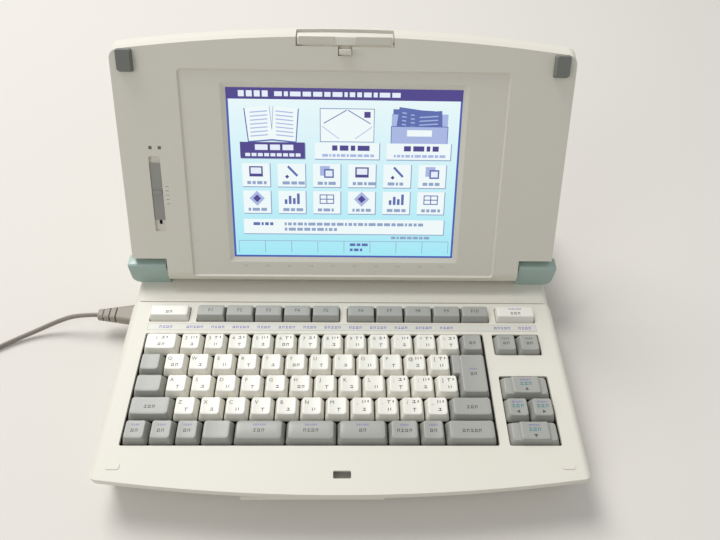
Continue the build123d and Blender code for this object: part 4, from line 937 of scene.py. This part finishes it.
panel_edge.data.materials.append(lid_abs)
panel_edge.select_set(False)
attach(panel_edge, "lid")

# a dark joint's width is left below the latch bar and at its ends
LATCH_END = (0.0362, 0.0372)        # the bar's ends lie between these, across the lid
LATCH_FOOT = (0.1810, 0.1819)       # and its lower edge between these, up the lid
latch = softened("latch_bar", "latch_bar_cover", width=0.0003)
latch.data.transform(lid_place.inverted())
take(latch)
bpy.ops.object.mode_set(mode="EDIT")
for side in (-1, 1):
    select("VERT", lambda v, side=side: LATCH_END[0] < side * v.co.x < LATCH_END[1])
    bpy.ops.transform.translate(value=(-side * JOINT, 0, 0))
select("VERT", lambda v: LATCH_FOOT[0] < v.co.y < LATCH_FOOT[1])
bpy.ops.transform.translate(value=(0, JOINT, 0))
bpy.ops.object.mode_set(mode="OBJECT")
latch.data.transform(lid_place)
latch.select_set(False)
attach(latch, "latch_bar")
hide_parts("latch_bar")

# it has a thin finger panel on each side of its middle, painted darker than the bar as the shade
# of a sunk finger scoop
FINGER_PANEL = (0.0272, 0.0054, 0.0005)
FINGER_PLACE = (0.0216, 0.1853, 0.00805)
FINGER_ROUND = 0.0002
painted_scoop_shade = skin("painted_scoop_shade_abs", "#D2CEC0", 0.5, 0.9, 0.012, 0.012)
made = []
for side in (-1, 1):
    bpy.ops.mesh.primitive_cube_add(size=1, location=(side * FINGER_PLACE[0], *FINGER_PLACE[1:]))
    plate = bpy.context.object
    bpy.ops.object.mode_set(mode="EDIT")
    bpy.ops.transform.resize(value=FINGER_PANEL)
    bpy.ops.mesh.bevel(offset=FINGER_ROUND, segments=2, affect="EDGES")
    bpy.ops.object.mode_set(mode="OBJECT")
    plate.data.transform(Matrix.Translation(plate.location))
    plate.location = (0, 0, 0)
    plate.data.transform(lid_place)
    plate.data.materials.append(painted_scoop_shade)
    made.append(plate)
finger_panels = joined("latch_finger_panels", made)
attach(finger_panels, "latch_bar")


# ---------------- screen
# A backlit liquid crystal panel behind glass, in a pressed metal frame. It shows a menu in
# blue on a pale cyan ground: a title line, three pictures, small icons and a message box.
# All of it is plain shapes, with bars where words would be.

# pressed steel with a rolled surface, duller than the plated parts
frame_steel = skin("pressed_steel_frame", "#9A9D9F", 0.4, 1.0, 0.004, metallic=1.0)
dress("lcd_panel", frame_steel)
dress("inverter_board", green_board)
# the tube's phosphor makes its glass milky
lamp_glass = skin("frosted_lamp_glass", "#EDEDE8", 0.5, 1.0, 0.0)
dress("backlight_tube", lamp_glass)
# dark smooth glass, of which only a rim shows round the picture
cover_glass = skin("screen_glass", "#3A4A55", 0.12, 5.0, 0.0)
dress("lcd_glass", cover_glass)

WINDOW_W = 0.1864
WINDOW_H = 0.1398
WINDOW_MID = 0.0802
GLASS_W = 0.00405       # the glass's face above the lid's own plane, through the hinge
GLOW = 0.92


def glow(name, shade):
    """A lit colour of the screen under a smooth glass that still catches the room."""
    material = bpy.data.materials.new(name)
    material.use_nodes = True
    surface = material.node_tree.nodes["Principled BSDF"]
    surface.inputs["Base Color"].default_value = (0.01, 0.01, 0.012, 1)
    surface.inputs["Roughness"].default_value = 0.25
    surface.inputs["Emission Color"].default_value = linear(shade)
    surface.inputs["Emission Strength"].default_value = GLOW
    return material


# the ground fades from near white at the top to a deeper cyan below
ground = glow("lcd_ground", "#D2F6FC")
ground_tree = ground.node_tree
place = add_node(ground_tree, "TexCoord").outputs["Object"]
height = add_node(ground_tree, "SeparateXYZ", {0: place}).outputs["Z"]
screen_low = (lid_place @ Vector((0, WINDOW_MID - WINDOW_H / 2, GLASS_W))).z
screen_high = (lid_place @ Vector((0, WINDOW_MID + WINDOW_H / 2, GLASS_W))).z
fade = add_node(ground_tree, "MapRange", {"Value": height, "From Min": screen_low,
                                          "From Max": screen_high})
shades = add_node(ground_tree, "MixRGB", {"Fac": fade.outputs[0], "Color1": linear("#A2ECFA"),
                                          "Color2": linear("#F0FDFF")})
surface = ground_tree.nodes["Principled BSDF"]
ground_tree.links.new(shades.outputs[0], surface.inputs["Emission Color"])

# colours from the lowest layer up, so that each lies on the ones before it
LAYERS = {
    "ground": ground,
    "edge": glow("lcd_edge_blue", "#3B55B4"),
    "shadow": glow("lcd_shadow_blue", "#8FA3C9"),
    "white": glow("lcd_white", "#F4FEFF"),
    "pale": glow("lcd_pale_blue", "#A9B9E6"),
    "blue": glow("lcd_blue", "#5568B0"),
    "indigo": glow("lcd_indigo", "#45398A"),
    "text": glow("lcd_text_white", "#E9F2FF"),
}
drawn = {}


OVERLAY = 12            # the level of words and of the highest shapes
BOX_SHADOW = 0.8


def draw(layer, x, y, width, height, turn=0.0, level=0):
    """Notes one rectangle of the menu, in millimetres from the middle of the screen."""
    place = (x / 1000, y / 1000, width / 1000, height / 1000, turn)
    drawn.setdefault((level, layer), []).append(place)


def draw_words(layer, x0, x1, y, size, seed):
    """A line of bars of uneven length in place of words, on top of all else."""
    x = x0
    step = seed
    while x < x1 - size:
        step = (step * 7 + 3) % 11
        width = size * (0.7 + 0.16 * step)
        draw(layer, x + width / 2, y, width, size, 0, OVERLAY)
        x += width + size * 0.45


def draw_box(x, y, width, height):
    """A white box with a shadow at its lower right."""
    draw("shadow", x + BOX_SHADOW / 2, y - BOX_SHADOW / 2, width + BOX_SHADOW,
         height + BOX_SHADOW, 0, 9)
    draw("white", x, y, width, height, 0, 10)


half_w = WINDOW_W * 1000 / 2
half_h = WINDOW_H * 1000 / 2
draw("ground", 0, 0, 2 * half_w, 2 * half_h)
for side in (-1, 1):
    draw("edge", side * (half_w - 0.8), 0, 1.6, 2 * half_h)
draw("edge", 0, 0.8 - half_h, 2 * half_w, 1.6)
draw("indigo", 0, half_h - 4.4, 2 * half_w, 8.8)
for i in range(4):
    draw("text", 12.0 - half_w + i * 6.2, half_h - 4.6, 4.6, 4.6)
    draw("indigo", 12.0 - half_w + i * 6.2, half_h - 4.6, 3.4, 3.4)
draw_words("text", 38.0 - half_w, half_w - 50.0, half_h - 4.6, 3.6, 2)

# three pictures: an open book, an envelope and a folder of sheets
for side in (-1, 1):
    draw("blue", -58 + side * 10.4, 41.5, 20.5, 27, side * 0.09, 1)
    draw("white", -58 + side * 10.2, 42.2, 19.3, 26, side * 0.09, 2)
    for i in range(7):
        draw("pale", -58 + side * 10.2, 51.5 - i * 3.1, 14.0, 0.9, side * 0.09, 3)
draw("blue", 2, 41.5, 43.4, 26.4, 0, 1)
draw("white", 2, 41.5, 42.4, 25.4, 0, 2)
for side in (-1, 1):
    draw("blue", 2 + side * 9.6, 48.2, 21.0, 0.7, side * 0.52, 3)
    draw("pale", 2 + side * 13.2, 35.8, 16.6, 0.6, -side * 0.62, 3)
draw("indigo", 18.0, 50.0, 5.0, 4.6, 0, 4)
draw("blue", 47, 52.6, 17, 4, 0, 1)
draw("pale", 60, 40.0, 45, 22, 0, 1)
for i, turn in enumerate((0.13, 0.04, -0.07)):
    draw("blue", 53 + i * 7, 45.5 - i, 22, 19, turn, 2 + i)
    draw("white", 53 + i * 7, 45.5 - i, 21.2, 18.2, turn, 2 + i)
    for k in range(4):
        draw("pale", 53 + i * 7, 51.0 - i - k * 3.0, 15, 0.9, turn, 2.5 + i)
draw("blue", 60, 34.0, 46, 15.0, 0, 6)
draw("pale", 60, 34.0, 44.8, 13.8, 0, 7)
draw("white", 60, 36.0, 20, 5.0, 0, 8)

# their captions; the first is the chosen one
draw("shadow", -57.4, 20.6, 52, 13.0, 0, 9)
draw("indigo", -58, 21.2, 52, 13.0, 0, 10)
draw_words("text", -72, -44, 23.6, 4.4, 1)
draw_words("text", -80, -36, 17.6, 2.6, 5)
for x, seed in ((2, 3), (60, 8)):
    draw_box(x, 21.2, 52, 13.0)
    draw_words("indigo", x - 12, x + 16, 23.6, 4.2, seed)
    draw_words("pale", x - 20, x + 22, 17.6, 2.2, seed + 1)


def draw_icon(x, y, kind):
    """One of six simple signs, each of a few bars."""
    if kind == 0:
        for i, rise in enumerate((4, 7, 5, 9)):
            draw("blue", x - 5 + i * 3.4, y - 4 + rise / 2, 2.2, rise, 0, 11)
    elif kind == 1:
        draw("indigo", x, y + 0.5, 11, 8.5, 0, 11)
        draw("text", x, y + 1.2, 8.6, 5.0, 0, 12)
    elif kind == 2:
        for i in range(3):
            draw("blue", x, y + 4 - i * 3.6, 12, 0.8, 0, 11)
            draw("blue", x - 5.6 + i * 5.6, y + 0.4, 0.8, 8.0, 0, 11)
    elif kind == 3:
        draw("blue", x + 1, y + 1, 11, 1.9, 0.8, 11)
        draw("indigo", x - 3.6, y - 3.6, 2.4, 2.4, 0.8, 11)
    elif kind == 4:
        draw("pale", x, y + 0.6, 9, 9, math.pi / 4, 11)
        draw("indigo", x, y + 0.6, 4.6, 4.6, math.pi / 4, 12)
    else:
        draw("pale", x - 1.5, y + 1.5, 8, 8, 0, 11)
        draw("blue", x + 1.8, y - 0.6, 8, 7.4, 0, 12)
        draw("text", x + 1.8, y - 0.6, 5.6, 4.8, 0, 13)


for row in range(2):
    for column in range(6):
        x = -72.0 + column * 28.8
        y = 1.0 - row * 22.6
        draw_box(x, y, 22.4, 19.0)
        draw_icon(x, y + 2.4, (column * 2 + row * 3 + 1) % 6)
        draw_words("shadow", x - 7.5, x + 9, y - 6.4, 2.6, column + 6 * row)

# message box, and a row of cells for the function keys
draw_box(0, -42.6, 168, 12.6)
draw_words("blue", -76, -58, -40.4, 2.6, 4)
draw_words("shadow", -50, 70, -40.4, 2.6, 9)
draw_words("shadow", -50, -6, -45.0, 2.6, 6)
draw_words("shadow", 40, 74, -52.0, 2.2, 2)
draw("shadow", 0, -55.4, 178, 0.5)
for i in range(9):
    draw("shadow", -89 + i * 22.25, -60.6, 0.5, 10.4)
draw_words("blue", 5, 19, -58.4, 2.4, 7)
draw_words("blue", 5, 19, -63.0, 2.4, 3)

# each level and colour is a sheet of its own, a hair in front of the one below it
SHEET_STEP = 0.000015
lit = []
order = sorted(drawn, key=lambda k: (k[0], list(LAYERS).index(k[1])))
for count, (level, layer) in enumerate(order):
    lit.append(bars("screen_" + layer, drawn[level, layer], LAYERS[layer], SHEET_STEP * count))
menu = joined("screen_menu", lit)
menu.data.transform(lid_place @ Matrix.Translation((0, WINDOW_MID, GLASS_W + PRINT_LIFT)))
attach(menu, "lid")


# ---------------- marks on the lid
# Five graduation marks beside the contrast slider and two little figures above it are pad
# printed, and so are ten pairs of faint ticks in a row under the screen.
lid_ink = ink("pad_print_grey", "#6A6862")
faint_ink = ink("faint_print_grey", "#AFAA9E")
PANEL_W = 0.0064        # the sunk panel and the lid's face above that plane
FACE_W = 0.008
INK_LIFT = 0.00004
TICK_X = -0.1443
TICK_TOP = 0.0716
TICK_STEP = 0.0036
TICK = (0.0024, 0.0004)
FIGURE_PLACES = ((-0.1548, 0.1030), (-0.1474, 0.1030))
FIGURE = (0.0026, 0.0026)
ticks = [(TICK_X, TICK_TOP - i * TICK_STEP, *TICK) for i in range(5)]
ticks += [(*place, *FIGURE) for place in FIGURE_PLACES]
printed = [bars("ticks", ticks, lid_ink, FACE_W + INK_LIFT)]
PAIR_PITCH = 0.0186
PAIR_HALF = 0.0009
PAIR_Y = 0.0030
PAIR_TICK = (0.0004, 0.0020, -0.3)
pairs = []
for i in range(10):
    x = (i - 4.5) * PAIR_PITCH
    pairs += [(x - PAIR_HALF, PAIR_Y, *PAIR_TICK), (x + PAIR_HALF, PAIR_Y, *PAIR_TICK)]
printed.append(bars("pairs", pairs, faint_ink, PANEL_W + INK_LIFT))
marks = joined("lid_print", printed)
marks.data.transform(lid_place)
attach(marks, "lid")


# ---------------- printer
# A thermal transfer printer in a steel chassis: a carriage on two ground rods, drawn along
# by a toothed belt, and a rubber roller turned by a stepper motor through a pair of gears.

# centreless-ground rod, the brightest metal here
ground_steel = skin("ground_steel", "#C9CACA", 0.2, 0.4, 0.002, 0.02, metallic=1.0)
# black ABS with the same spark-eroded texture as the case
black_abs = skin("black_abs", "#232325", 0.45, 0.9, 0.015)
# rubber ground to size, with a fine dull nap
roller_rubber = skin("ground_rubber", "#1E1E1F", 0.65, 0.6, 0.02)
# unpigmented acetal is milky white, with a soft waxy gloss
acetal = skin("natural_acetal", "#E6E3D8", 0.35, 1.0, 0.006)
FINISHES = {
    "printer_chassis": zinc, "guide_rods": ground_steel, "platen_roller": roller_rubber,
    "platen_gear": acetal, "motor_pinion": acetal, "feed_motor": frame_steel,
    "carriage_motor": frame_steel, "print_carriage": black_abs, "print_head": frame_steel,
    "ribbon_cassette": black_abs, "carriage_belt": roller_rubber,
}
for node, material in FINISHES.items():
    dress(node, material)
